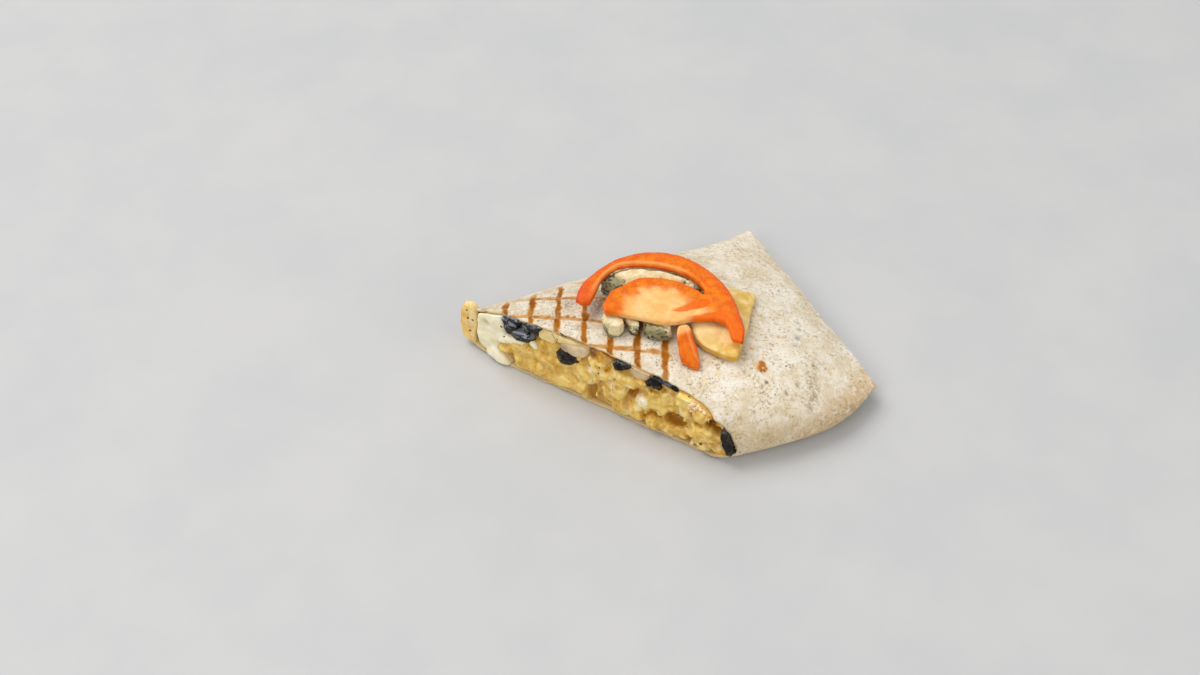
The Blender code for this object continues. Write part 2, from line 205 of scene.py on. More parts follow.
# %% Specks
specks, given, result = new_group("specks", {"Spacing": 2.0, "Radius": 0.25, "Share": 0.3})
frequency = maths(specks, "DIVIDE", 1.0, given["Spacing"])
cells = add(specks, "ShaderNodeTexVoronoi", {"Vector": given["Position"], "Scale": frequency})
reach = maths(specks, "DIVIDE", given["Radius"], given["Spacing"])
near_middle = fade(specks, cells.outputs["Distance"], maths(specks, "MULTIPLY", reach, 1.3),
                   maths(specks, "MULTIPLY", reach, 0.7))
lot = add(specks, "ShaderNodeSeparateColor", {"Color": cells.outputs["Color"]})
chosen = maths(specks, "LESS_THAN", lot.outputs[0], given["Share"])
specks.links.new(maths(specks, "MULTIPLY", near_middle, chosen), result["Mask"])

# %% Grill bars
bars, given, result = new_group("grill bars", {"Turn": 0.0, "Spacing": 10.0, "First": 0.0, "Width": 2.0,
                                               "Unevenness": 1.0})


def across_bars(tree, axes, cosine, sine):
    """Distance across a set of parallel bars, from the cosine and the sine of their turn."""
    north, east = maths(tree, "MULTIPLY", axes["Y"], cosine), maths(tree, "MULTIPLY", axes["X"], sine)
    return maths(tree, "SUBTRACT", north, east)


waver = maths(bars, "SUBTRACT", noise_at(bars, given["Position"], 0.16, 4.0), 0.5)
swelling = fade(bars, noise_at(bars, given["Position"], 0.24, 2.0), 0.32, 0.68, 0.70, 1.22)
axes = add(bars, "ShaderNodeSeparateXYZ", {"Vector": given["Position"]}).outputs
cosine, sine = maths(bars, "COSINE", given["Turn"]), maths(bars, "SINE", given["Turn"])
shifted = maths(bars, "SUBTRACT", across_bars(bars, axes, cosine, sine), given["First"])
swayed = maths(bars, "MULTIPLY_ADD", waver, given["Unevenness"], shifted)
offset = maths(bars, "PINGPONG", swayed, maths(bars, "MULTIPLY", given["Spacing"], 0.5))
thick = maths(bars, "MULTIPLY", given["Width"], swelling)
bars.links.new(fade(bars, offset, thick, maths(bars, "MULTIPLY", thick, 0.25)), result["Mask"])

# %% Placing a group, starting a material
METRES_TO_MM = 1000.0


def group(tree, shared, position, **values):
    """Places a shared group in a material and returns its mask."""
    inputs = {name.title(): value for name, value in values.items()}
    node = add(tree, "ShaderNodeGroup", {"Position": position, **inputs}, node_tree=shared)
    return node.outputs["Mask"]


def new_finish(name, roughness=0.5, coat=0.0, softness=0.0, bleed=(1.0, 0.6, 0.3), gleam=0.35):
    """A material with its shader, and the place on the piece in millimetres as a socket."""
    finish = bpy.data.materials.new(name)
    finish.use_nodes = True
    tree = finish.node_tree
    shader = tree.nodes["Principled BSDF"]
    values = {"Roughness": roughness, "Coat Weight": coat, "Coat Roughness": 0.12, "IOR": 1.42,
              "Specular IOR Level": gleam, "Subsurface Weight": softness, "Subsurface Radius": bleed,
              "Subsurface Scale": 0.0015}
    for label, value in values.items():
        shader.inputs[label].default_value = value
    place = add(tree, "ShaderNodeTexCoord").outputs["Object"]
    millimetres = add(tree, "ShaderNodeVectorMath", {0: place, "Scale": METRES_TO_MM}, operation="SCALE")
    return finish, tree, shader, millimetres.outputs[0]


def raise_surface(tree, shader, height, distance):
    """Fine relief: the height, times a distance in metres, tilts the surface."""
    bump = add(tree, "ShaderNodeBump", {"Height": height, "Distance": distance, "Strength": 1.0})
    tree.links.new(bump.outputs[0], shader.inputs["Normal"])


print("shader groups:", ", ".join(sorted(tree.name for tree in bpy.data.node_groups)))

# %% [markdown]
# ## A pale floor
#
# The food lies on a plain, pale surface: one large plane with its top at height zero, where the
# CAD model stands. A faint cloud in its grey keeps it from looking like paper.

# %% Floor
finish, tree, shader, place = new_finish("pale floor", 0.6)
cloud = group(tree, patches, place, size=60.0, start=0.3, stop=0.7)
tree.links.new(mixed(tree, cloud, (190, 191, 192), (196, 196, 196)), shader.inputs["Base Color"])
FLOOR_SIZE = 4.0
bpy.ops.mesh.primitive_plane_add(size=FLOOR_SIZE, location=(0, 0, 0))
floor = bpy.context.object
floor.name = "floor"
floor.data.materials.append(finish)
print("floor:", FLOOR_SIZE, "metres wide")

# %% [markdown]
# ## The parcel's shape in numbers
#
# The folded tortilla has no straight edge, but a few rules describe it: two side outlines, a
# crown that falls away to the folded end, and a slanted cut. These are the rules that the CAD
# model follows. The looks use them again, so that each ingredient fits in its place. Lengths are
# in millimetres until a mesh is made.

# %% The parcel's rules
CENTRE = np.array([0.894, -2.314, 0.0])   # from the drawing's origin to the frame's
HEIGHT = 32.0                             # top of the parcel
FOLD_X, FOLD_THICKNESS = 66.0, 4.0        # the folded end, and its pressed edge
FOLD_LIFT = 8.0                           # height of the widest line at the cut
CUT_X, CUT_SLANT = -33.0, 0.65            # where the cut crosses the middle, and its x for a mm of y
WALL = 1.25                               # thickness of the tortilla at the cut
CORNER, CORNER_BACK = (34.0, 52.0), 3.0   # over this stretch of y the cut's corner is rounded back
RISE_FROM = 20.0                          # from here on the widest line rises to the fold
CROWN_LENGTH, BELLY_LENGTH = 62.0, 40.0   # how far from the fold the top and the bottom are full
NEAR_SIDE = [(-70, -52), (0, -53), (26, -57), (42, -56.8), (54, -54), (66, -48.5)]
FAR_SIDE = [(-70, 53), (-30, 50.5), (20, 48), (45, 48), (58, 49.3), (66, 51)]
CUT_RUN = np.array([CUT_SLANT, -1.0, 0.0]) / math.hypot(CUT_SLANT, 1.0)
CUT_OUT = np.array([-1.0, -CUT_SLANT, 0.0]) / math.hypot(CUT_SLANT, 1.0)


def smooth_curve(points):
    """A function that passes smoothly through a few (x, y) points."""
    xs, ys = (np.array(values, float) for values in zip(*points))
    slopes = np.gradient(ys, xs)

    def value(x):
        x = np.clip(x, xs[0], xs[-1])
        k = np.clip(np.searchsorted(xs, x, side="right") - 1, 0, len(xs) - 2)
        step = xs[k + 1] - xs[k]
        u = (x - xs[k]) / step
        start = (1 + 2 * u) * (1 - u) ** 2 * ys[k] + u * (1 - u) ** 2 * step * slopes[k]
        stop = u * u * (3 - 2 * u) * ys[k + 1] + u * u * (u - 1) * step * slopes[k + 1]
        return start + stop

    return value


near_side, far_side = smooth_curve(NEAR_SIDE), smooth_curve(FAR_SIDE)


def ramp(value, start, stop):
    """0 up to the start, 1 from the stop on, and even between them. The stop may be the lower one."""
    return np.clip((value - start) / (stop - start), 0, 1)


def cut_line(y):
    """The x of the cut at a place across the parcel."""
    return CUT_X - CUT_SLANT * y + CORNER_BACK * ramp(y, *CORNER) ** 2


def widest_height(x):
    """Height of the parcel's widest line, which rises to the fold."""
    return FOLD_LIFT + ramp(x, RISE_FROM, FOLD_X) ** 1.5


def swell(x, length, power):
    """Fullness, from 0 at the fold to 1 at a length from it."""
    return np.sin(math.pi / 2 * ramp(x, FOLD_X, FOLD_X - length)) ** power


def arch(across, squareness, power):
    """Height of a blunt arch over the parcel's width, which goes from -1 to 1."""
    return np.clip(1 - np.abs(across) ** squareness, 0, 1) ** power


def skin_top(x, across, inset=0.0):
    """Height of the upper skin."""
    half = FOLD_THICKNESS / 2
    rise = half + (HEIGHT - widest_height(x) - half) * swell(x, CROWN_LENGTH, 0.85) - inset
    return widest_height(x) + rise * arch(across, 2.8, 0.4545)


def skin_bottom(x, across, inset=0.0):
    """Height of the lower skin, which lies flat where the parcel is full."""
    half = FOLD_THICKNESS / 2
    drop = half + (FOLD_LIFT + 1.0 - half) * swell(x, BELLY_LENGTH, 1.0) - inset
    return np.maximum(inset, widest_height(x) - drop * arch(across, 6.0, 0.5))


def skin_point(along, turn, inset=0.0, end_inset=0.0):
    """Points of the skin: along is 0 at the cut and 1 at the fold, turn goes from far side to top."""
    along, turn = np.broadcast_arrays(along, turn)
    across = np.round(np.cos(turn), 9)
    x = np.full(across.shape, CUT_X, float)
    for _ in range(40):
        near, far = near_side(x) + inset, far_side(x) - inset
        y = (near + far) / 2 + across * (far - near) / 2
        x = cut_line(y) + along * (FOLD_X - end_inset - cut_line(y))
    top, bottom = skin_top(x, across, inset), skin_bottom(x, across, inset)
    return np.stack([x, y, np.where(np.sin(turn) > -1e-9, top, bottom)], axis=-1)


RUN_ACROSS, SET_BACK = -0.8385, 2.5       # y for a millimetre of run, and the corner's depth


def set_back(run):
    """How far the cut's rounded far corner lies behind its plane."""
    return SET_BACK * ramp(RUN_ACROSS * run, *CORNER) ** 2


def face_point(run, height, out=0.0):
    """A place on the cut: run along it from the middle, height above the table, out of the cut."""
    run, height, out = np.broadcast_arrays(run, height, out)
    out = out - set_back(run)
    flat = np.array([CUT_X, 0, 0]) + run[..., None] * CUT_RUN + out[..., None] * CUT_OUT
    return flat + height[..., None] * np.array([0, 0, 1.0])


def face_place(points):
    """The reverse: run, height and distance out of the cut for points of the drawing."""
    shifted = points - np.array([CUT_X, 0, 0])
    run = shifted @ CUT_RUN
    return run, points[:, 2], shifted @ CUT_OUT + set_back(run)


print("the parcel is", FOLD_X - cut_line(0.0), "mm long on its middle line")

# %% [markdown]
# A real tortilla is never even. The helper below asks for a smooth noise value at each point, and
# adds noises of several sizes: long waves first, then smaller dents. The tortilla's lift is such a
# sum, and a second rule keeps every filling below the lifted sheet.

# %% Unevenness
def uneven(points, size, seed=0.0):
    """Smooth noise between about -1 and 1 at each point, with bumps about `size` millimetres wide."""
    spots = points / np.asarray(size, float) + np.array([seed, seed * 0.7, -seed])
    return np.array([noise.noise(spot) for spot in spots.reshape(-1, 3).tolist()]).reshape(points.shape[:-1])


def relief(points, *waves):
    """Unevenness that is added up from waves, each given by its height, its size and a seed."""
    return sum(height * uneven(points, size, seed) for height, size, seed in waves)


def sheet_lift(points):
    """How far the tortilla is lifted or sunk at points of its smooth skin."""
    lift = relief(points, (0.75, 24.0, 1.0), (0.28, 9.0, 2.0), (0.11, 3.6, 3.0))
    above = ramp(points[..., 2], 0.6, 4.6)
    from_cut = points[..., 0] - cut_line(points[..., 1])
    calm = 0.25 + 0.75 * ramp(from_cut, 0.0, 16.0)
    return lift * calm * above * above * (3 - 2 * above)


def under_sheet(points, gap=0.2):
    """Pushes points in under the tortilla's inner side where they would stick through it."""
    x, y, z = points.T
    inset = WALL + gap
    near, far = near_side(x) + inset, far_side(x) - inset
    y = np.clip(y, near + 0.02, far - 0.02)
    across = (2 * y - near - far) / (far - near)
    base = np.stack([x, y, skin_top(x, across)], axis=1)
    ceiling = skin_top(x, across, inset) + np.minimum(sheet_lift(base), 0.6)
    floor_level = np.maximum(skin_bottom(x, across, inset), 0.5)
    return np.stack([x, y, np.clip(z, floor_level, np.maximum(ceiling, floor_level + 0.05))], axis=1)

# %% [markdown]
# ## Mesh helpers
#
# Soft food has no edges that a few polygons could describe. Most pieces here start as a simple
# closed shape, which a voxel remesh turns into an even skin of small faces. Smoothing softens
# it, and then every point moves by a rule, as a thumb would press clay. Noise gives the
# unevenness. The same rule can paint a value on each point for the material to read.

# %% Mesh helpers
SAME_PLACE = 1e-6     # metres within which two points are one


@contextmanager
def opened(mesh):
    """Opens a mesh for editing and writes the result back."""
    work = bmesh.new()
    work.from_mesh(mesh)
    yield work
    work.to_mesh(mesh)
    work.free()


def make_object(name, points, faces):
    """An object from points of the drawing in millimetres, with its faces outwards."""
    mesh = bpy.data.meshes.new(name)
    places = (np.asarray(points, float).reshape(-1, 3) - CENTRE) * MM
    mesh.from_pydata(places.tolist(), [], [tuple(int(i) for i in face) for face in faces])
    with opened(mesh) as work:
        bmesh.ops.remove_doubles(work, verts=work.verts, dist=SAME_PLACE)
        bmesh.ops.recalc_face_normals(work, faces=work.faces)
    return new_object(name, mesh)


def spots_of(thing):
    """The points of an object in millimetres of the drawing."""
    values = np.zeros(len(thing.data.vertices) * 3)
    thing.data.vertices.foreach_get("co", values)
    return values.reshape(-1, 3) / MM + CENTRE


def normals_of(thing):
    """The direction in which the surface faces at each point."""
    values = np.zeros(len(thing.data.vertices) * 3)
    thing.data.vertices.foreach_get("normal", values)
    return values.reshape(-1, 3)


def move(thing, points):
    """Puts an object's points at places of the drawing."""
    thing.data.vertices.foreach_set("co", ((points - CENTRE) * MM).ravel())
    thing.data.update()


def paint(thing, name, values):
    """Keeps a value for each point on the mesh, for the material."""
    layer = thing.data.attributes.get(name) or thing.data.attributes.new(name, "FLOAT", "POINT")
    layer.data.foreach_set("value", np.asarray(values, np.float32))


def settle(thing):
    """Turns an object's modifiers into a plain mesh."""
    graph = bpy.context.evaluated_depsgraph_get()
    mesh = bpy.data.meshes.new_from_object(thing.evaluated_get(graph))
    thing.modifiers.clear()
    thing.data = mesh
    return thing


def knead(thing, voxel, rounds=3):
    """One even skin round all closed shapes of a mesh, softened."""
    skin = thing.modifiers.new("skin", "REMESH")
    skin.mode = "VOXEL"
    skin.voxel_size = voxel * MM
    soft = thing.modifiers.new("soft", "SMOOTH")
    soft.factor = 0.5
    soft.iterations = rounds
    return settle(thing)


def joined(name, things):
    """Several objects as one."""
    mesh = bpy.data.meshes.new(name)
    with opened(mesh) as work:
        for thing in things:
            work.from_mesh(thing.data)
            bpy.data.objects.remove(thing)
    return new_object(name, mesh)


def node_copy(node, name):
    """A merged copy of a CAD piece, to be worked on."""
    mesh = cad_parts[node].data.copy()
    mesh.materials.clear()
    with opened(mesh) as work:
        bmesh.ops.remove_doubles(work, verts=work.verts, dist=SAME_PLACE)
    return new_object(name, mesh)


def hand_over(thing, finish, slot, *nodes):
    """A finished piece: smooth, with its material, tied to the frame."""
    thing.data.materials.clear()
    thing.data.materials.append(finish)
    thing.data.shade_smooth()
    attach(thing, "root")
    if nodes:
        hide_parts(*nodes)
    thing.data.calc_loop_triangles()
    print(f"{thing.name}: {len(thing.data.loop_triangles)} triangles")

# %% [markdown]
# ## The tortilla
#
# One thin flour tortilla wraps the filling. Its top is nearly flat, its near flank bulges, and
# the folded end is pressed to an edge. A grid of points follows the parcel's rules, one ring
# after another from the cut to the fold, with an inner wall a good millimetre below. Noise lifts
# and sinks both walls together, because a real sheet keeps its thickness. The grill's bars leave
# shallow grooves, and the knife leaves a slightly ragged edge.

# %% Grooves and blister
FIRST_BARS = {"turn": math.radians(62), "spacing": 10.4, "first": 2.9}
SECOND_BARS = {"turn": math.radians(-34), "spacing": 13.2, "first": -3.1}
GROOVE_DEPTH = 0.28
BLISTER, BLISTER_RADIUS, BLISTER_HEIGHT = (22.0, -34.6), 1.7, 0.9
PIT_RADIUS, PIT_DEPTH = 0.6, 0.5             # the blister has burst in its middle


def grooves(points, width, turn, spacing, first):
    """Distance across a set of bars, and how deep its nearest bar has pressed in, 0 to 1."""
    across = -(points[..., 0] - CENTRE[0]) * math.sin(turn) + (points[..., 1] - CENTRE[1]) * math.cos(turn)
    off = np.mod(across - first + spacing / 2, spacing) - spacing / 2
    return across, np.exp(-(off / width) ** 2)


def bar_groove(points):
    """How deep both sets of bars have pressed into the top. They start a little way from the near side."""
    across, depth = grooves(points, 1.1, **FIRST_BARS)
    _, crossing = grooves(points, 0.8, **SECOND_BARS)
    depth = depth * (across > -2) + 0.7 * crossing * (across > 8)
    return depth * ramp(points[..., 2], 24.0, 28.0)


def blister(points):
    """Height of the one blister on the near flank, with its pit."""
    away = np.hypot(points[..., 0] - BLISTER[0], points[..., 1] - BLISTER[1])
    swelling = BLISTER_HEIGHT * np.exp(-((away / BLISTER_RADIUS) ** 4))
    pit = PIT_DEPTH * np.exp(-((away / PIT_RADIUS) ** 2))
    return (points[..., 2] > 14) * (swelling - pit)


print("grill bars:", FIRST_BARS["spacing"], "and", SECOND_BARS["spacing"], "mm apart")

# %% A wavy skin
# Run along the cut, and how far the tortilla's edge lies behind or before the cut there
EDGE = [(-64, -0.9), (-45, -0.9), (-36, -0.7), (-23, 0.0), (-11, -1.0), (0, -1.3), (14, -1.2), (18, -0.8),
        (24, -0.8), (30, -1.8), (45, -2.1), (51, -2.0), (54.5, 0.1), (57, -0.6), (61, -1.3), (65, -1.7)]
EDGE_WAVES = (0.35, 7.0, 4.0), (0.45, 2.2, 5.0), (0.2, 1.0, 6.0)
EDGE_DEPTH = 6.0      # the raggedness dies out this far behind the cut


def wavy_skin(along, turn, inset=0.0, end_inset=0.0):
    """Skin points, lifted and sunk by the sheet's unevenness, with a ragged edge at the cut."""
    base = skin_point(along, turn)
    step = 1e-3
    forward = skin_point(np.clip(along + step, 0, 1), turn) - skin_point(np.clip(along - step, 0, 1), turn)
    round_it = skin_point(along, turn + step) - skin_point(along, turn - step)
    normal = np.cross(round_it, forward)
    normal /= np.linalg.norm(normal, axis=-1)[..., None] + 1e-12
    normal *= np.sign((normal * (base - base.mean(axis=1, keepdims=True))).sum(-1))[..., None]
    lift = sheet_lift(base) - GROOVE_DEPTH * bar_groove(base) + blister(base)
    run = (base - np.array([CUT_X, 0, 0])) @ CUT_RUN
    ragged = np.interp(run, *zip(*EDGE)) * np.clip(base[..., 2] / 8.0, 0.3, 1) + relief(base, *EDGE_WAVES)
    ragged *= np.exp(-(along * (FOLD_X - cut_line(base[..., 1]))) / EDGE_DEPTH)
    place = skin_point(along, turn, inset, end_inset)
    return place + normal * lift[..., None] + CUT_OUT * ragged[..., None]

# %% Tortilla mesh
RING = 288                                   # points round the parcel
END_INSET = 4.6                              # pressed solid at the folded end
BLUNT_CORNER, BLUNT_REACH = np.array([0.60, 0.80, 0.0]), 79.6   # the far corner is folded in here


def grid_quads(rows, columns, first=0):
    """Faces between the rows of a grid whose rows close on themselves."""
    index = first + np.arange(rows * columns).reshape(rows, columns)
    after = np.roll(index, -1, axis=1)
    return np.stack([index[:-1], after[:-1], after[1:], index[1:]], axis=-1).reshape(-1, 4).tolist()


def lid_quads(first, count):
    """Faces that close a flat ring of points, from its upper points to the lower ones."""
    corners = [(i, i + 1, (count - i - 1) % count, (count - i) % count) for i in range(count // 2)]
    return [tuple(dict.fromkeys(first + corner for corner in face)) for face in corners]


turn = 2 * math.pi * np.arange(RING)[None, :] / RING
closer_to_fold = 1 - (1 - np.linspace(0, 1, 150)) ** 1.2
outer = wavy_skin(closer_to_fold[:, None], turn)
inner = wavy_skin(np.linspace(0, 1, 44)[:, None], turn, WALL, END_INSET)
mirror = (-np.arange(RING)) % RING
middle = (outer[-1] + outer[-1][mirror]) / 2
FOLD_OUT = np.array([1.0, 0, 0])
end = [middle + (outer[-1] - middle) * math.cos(a) + FOLD_OUT * math.sin(a)
       for a in np.radians([25, 50, 72, 90])]
rim_middle = (outer[0] + inner[0]) / 2
rim = [rim_middle + (outer[0] - rim_middle) * math.cos(a) + CUT_OUT * 0.5 * math.sin(a)
       for a in np.radians([135, 90, 45])]
rows = np.concatenate([inner[::-1], np.array(rim), outer, np.array(end)])
rows -= np.maximum(rows @ BLUNT_CORNER - BLUNT_REACH, 0)[..., None] * BLUNT_CORNER
faces = grid_quads(len(rows), RING) + lid_quads(0, RING)
tortilla = make_object("tortilla_skin", rows.reshape(-1, 3), faces)
print("tortilla rows:", len(rows), "points a row:", RING)

# %% Tortilla attributes
EDGE_SHARES = [[1.0], [0.8], [0.35]]       # how much of the inner colour the three rows of the rim have
spots = spots_of(tortilla)
inside = np.zeros((len(rows), RING))
inside[:len(inner)] = 1.0
inside[len(inner):len(inner) + len(rim)] = EDGE_SHARES
flat_rows = rows.reshape(-1, 3)
nearest = KDTree(len(flat_rows))
for number, spot in enumerate(flat_rows.tolist()):
    nearest.insert(spot, number)
nearest.balance()
order = np.array([nearest.find(spot)[1] for spot in spots.tolist()])
paint(tortilla, "inside", inside.reshape(-1)[order])
facing = normals_of(tortilla)
# The "side" value marks where the flank and the flat strip by the near side get painted warm shade; it also
# sets how much tan mottling and flour show there
shaded_flank = np.clip(-1.5 * facing[:, 1] - 0.35, 0, 1) * np.clip(1.4 - 1.4 * facing[:, 2], 0, 1)
from_near_side = spots[:, 1] - near_side(spots[:, 0])
shaded_near_edge = np.clip(1.2 - from_near_side / 9.0, 0, 1) * ramp(spots[:, 0], 28.0, 50.0)
paint(tortilla, "side", np.maximum(shaded_flank, shaded_near_edge))
print("points on the flank:", int((shaded_flank > 0.5).sum()))

# %% [markdown]
# The dough is cream, cloudy, and freckled where bubbles have toasted, and its flank carries painted
# warm shade. The grill has drawn two sets of bars across the top, brown in their middle and
# orange-brown at their edges. They are lines in the shader, at the same places as the grooves, and
# noise makes them waver and break.

# %% Dough
finish, tree, shader, place = new_finish("toasted tortilla", 0.62, softness=0.05,
                                         bleed=(1.0, 0.7, 0.45), gleam=0.2)
axes = add(tree, "ShaderNodeSeparateXYZ", {"Vector": place}).outputs
first_across, second_across = (across_bars(tree, axes, math.cos(turn), math.sin(turn))
                               for turn in (FIRST_BARS["turn"], SECOND_BARS["turn"]))
on_top, upper = fade(tree, axes["Z"], 22.0, 27.0), fade(tree, axes["Z"], 9.0, 13.0)
flank = attribute(tree, "side")
cloudy = group(tree, patches, place, size=11.0, start=0.36, stop=0.64, detail=4.0)
yellowed = group(tree, patches, place, size=5.0, start=0.55, stop=0.72, detail=5.0)
tan = group(tree, patches, place, size=6.0, start=0.50, stop=0.70, detail=6.0)
flour = group(tree, patches, place, size=2.4, start=0.50, stop=0.68, detail=6.0)
shaded_flank_end, far = fade(tree, axes["X"], 14.0, 48.0), fade(tree, axes["Y"], 4.0, 34.0, 0.0, 0.4)
colour = mixed(tree, cloudy, (232, 216, 186), (250, 241, 224))
colour = tint(tree, colour, (232, 206, 150), yellowed, 0.5)
# Painted warm shade on the flank
colour = tint(tree, colour, (222, 192, 142), flank, 0.6)
colour = tint(tree, colour, (194, 160, 108), tan, maths(tree, "MULTIPLY_ADD", flank, 0.45, 0.25))
# More painted shade on the flank towards the folded end
colour = tint(tree, colour, (198, 158, 100), shaded_flank_end, flank, 0.4)
colour = tint(tree, colour, (220, 192, 146), far, maths(tree, "MULTIPLY_ADD", tan, 0.6, 0.4))

# %% Freckles, flour and ash
grilled = times(tree, on_top, fade(tree, first_across, -6.0, 8.0), fade(tree, second_across, 30.0, 16.0))
zone = group(tree, patches, place, size=8.0, start=0.42, stop=0.60, detail=3.0)
busy = maths(tree, "MULTIPLY_ADD", zone, 0.60, 0.36)
mottled = group(tree, patches, place, size=1.1, start=0.48, stop=0.68, detail=6.0)
freckles = group(tree, specks, place, spacing=1.1, radius=0.30, share=0.35)
pepper = group(tree, specks, place, spacing=5.0, radius=0.34, share=0.25)
ash = group(tree, specks, place, spacing=0.8, radius=0.22, share=0.5)
colour = tint(tree, colour, (200, 180, 160), grilled, 0.18)
colour = tint(tree, colour, (166, 142, 104), mottled, busy, 0.9)
colour = tint(tree, colour, (160, 138, 100), freckles, busy, 0.5)
colour = tint(tree, colour, (252, 246, 236), flour, maths(tree, "MULTIPLY_ADD", flank, -0.25, 0.65))
colour = tint(tree, colour, (88, 76, 60), pepper, 0.6)
colour = tint(tree, colour, (84, 80, 78), maths(tree, "MULTIPLY", grilled, ash), zone, 0.75)

# %% [markdown]
# Some marks have a place of their own: a blister that has burst and browned, with a painted
# highlight on its top, drops of oil, ash next to the bars, char and painted shade beside the
# tomato, and a painted shadow under the cheese. Each is a small group of round stains, given by
# their places and radii. Noise shakes their outlines, so that none of them looks like a circle.

# %% Stains
# What it is: tone, strength, raggedness, whether it fades softly, and x, y and radius of each stain
STAINS = {
    "grey at the right end of the bars": (
        (150, 144, 134), 0.75, 1.2, True,
        [(49.5, -11.5, 1.2), (47.8, -15.6, 1.4), (44.3, -20.2, 2.0), (40.6, -24.6, 1.2)]),
    "toasted near side": (
        (150, 126, 80), 0.7, 1.6, True,
        [(42.7, -35.2, 1.8), (38.7, -39.9, 2.2), (37.6, -43.8, 2.4), (35.4, -47.7, 2.6), (32.4, -49.8, 2.2),
         (31.4, -41.7, 1.5), (25.4, -43.7, 1.3), (10.0, -45.5, 1.2)]),
    "burnt crumbs": (
        (52, 44, 34), 0.9, 0.4, False,
        [(31.0, -33.8, 0.5), (32.3, -34.6, 0.55), (20.9, -43.1, 0.5), (-25.1, -6.2, 0.5)]),
    "brown dot": ((112, 92, 66), 0.8, 0.5, False, [(19.8, -38.1, 1.0)]),
    "oil between the bars": (
        (216, 164, 84), 0.8, 1.4, False,
        [(38.1, 3.0, 0.6), (34.9, -1.8, 0.9), (31.9, -6.4, 0.8), (28.2, -12.3, 0.9), (24.8, -17.8, 0.7),
         (21.6, -23.0, 0.8), (39.0, -15.2, 0.7), (35.9, -19.6, 0.9), (49.8, -19.8, 0.9), (52.7, -19.8, 0.7)]),
    "ash between the bars": (
        (120, 108, 92), 0.6, 1.0, False,
        [(39.1, -8.0, 0.5), (36.4, -11.0, 0.4), (34.4, -14.8, 0.5), (33.3, -18.5, 0.4), (31.3, -22.8, 0.4)]),
    "yellow round the blister": ((240, 204, 136), 0.8, 1.6, False, [(21.3, -31.9, 3.4)]),
    "oil that ran from the blister": (
        (232, 200, 112), 0.7, 1.6, False,
        [(23.8, -28.4, 0.9), (24.8, -26.8, 0.8), (25.6, -25.4, 0.6), (19.6, -30.0, 1.2)]),
    "browned blister": ((192, 112, 30), 0.95, 0.5, False, [(21.0, -32.4, 2.5), (22.3, -30.4, 1.9)]),
    # Painted shadow of the cheese slice on the tortilla
    "painted shadow under the cheese": (
        (158, 118, 76), 0.6, 1.6, False, [(8.1, -25.0, 0.8), (5.5, -25.2, 0.9), (4.8, -27.0, 0.7)]),
    "juice from the tomato": ((242, 214, 156), 0.6, 1.6, False, [(4.4, -28.8, 1.8), (-2.0, -29.8, 1.4)]),
    # Partly char and partly painted shade
    "char and painted shade left of the tomato": (
        (142, 116, 92), 0.75, 1.6, True,
        [(-18.3, 29.2, 4.0), (-22.0, 21.0, 4.4), (-19.5, 24.0, 3.0), (-31.0, 28.5, 4.0)]),
    # A painted highlight on the blister's top
    "painted highlight on the blister": ((250, 214, 150), 0.8, 0.3, False, [(21.3, -32.7, 0.6)]),
    "burnt rim of the blister": (
        (112, 62, 22), 0.8, 0.4, False, [(20.0, -33.4, 0.55), (22.6, -33.0, 0.5), (21.2, -34.0, 0.45)]),
}


def stained(tree, colour, tone, strength, ragged, soft, places):
    """The colour with stains at places given as x, y and radius in millimetres."""
    shake = noise_at(tree, place, 0.6, 5.0, roughness=0.7)
    wild = maths(tree, "MULTIPLY", maths(tree, "SUBTRACT", shake, 0.5), ragged * 2)
    grainy = group(tree, patches, place, size=1.0, start=0.36, stop=0.58, detail=5.0) if soft else 1.0
    outer, inner = (1.5, 0.0) if soft else (1.0, 0.4)
    for x, y, radius in places:
        flat = add(tree, "ShaderNodeCombineXYZ", {"X": axes["X"], "Y": axes["Y"]})
        away = add(tree, "ShaderNodeVectorMath", {0: flat.outputs[0], 1: (x, y, 0.0)}, operation="DISTANCE")
        shaken = maths(tree, "ADD", away.outputs["Value"], wild)
        near = fade(tree, shaken, radius * outer, radius * inner)
        colour = tint(tree, colour, tone, near, upper, strength, grainy)
    return colour


for stain in STAINS.values():
    colour = stained(tree, colour, *stain)
print("kinds of stain:", len(STAINS))

# %% Grill marks
# The same five values for stretches of the bars that are browner
DARK_STRETCHES = [
    ((160, 102, 34), 0.75, 0.8, False,
     [(-37.2, 22.4, 1.0), (-34.8, 21.2, 1.1), (-32.6, 19.6, 1.0), (-41.4, 24.8, 0.9)]),
    ((156, 92, 26), 0.55, 0.8, False, [(-26.6, 23.0, 1.5), (-28.6, 18.8, 1.2), (-31.2, 14.6, 1.1)]),
]
first_marks = times(tree, group(tree, bars, place, width=1.95, unevenness=2.6, **FIRST_BARS),
                    fade(tree, first_across, -2.5, -1.0), fade(tree, second_across, 34.0, 24.0))
second_marks = times(tree, group(tree, bars, place, width=1.9, unevenness=2.2, **SECOND_BARS),
                     fade(tree, first_across, 2.0, 7.0), fade(tree, second_across, 34.0, 24.0), 0.7)
worn = group(tree, patches, place, size=4.5, start=0.36, stop=0.60, detail=2.0)
marks = times(tree, maths(tree, "MAXIMUM", first_marks, second_marks),
              maths(tree, "MULTIPLY_ADD", worn, 0.32, 0.68), on_top)
burnt = group(tree, patches, place, size=5.0, start=0.36, stop=0.66, detail=3.0)
colour = tint(tree, colour, (222, 168, 92), fade(tree, marks, 0.0, 0.55), 0.85)
colour = mixed(tree, fade(tree, marks, 0.25, 0.95), colour, mixed(tree, burnt, (178, 106, 16), (142, 78, 0)))
for stretch in DARK_STRETCHES:
    colour = stained(tree, colour, *stretch)

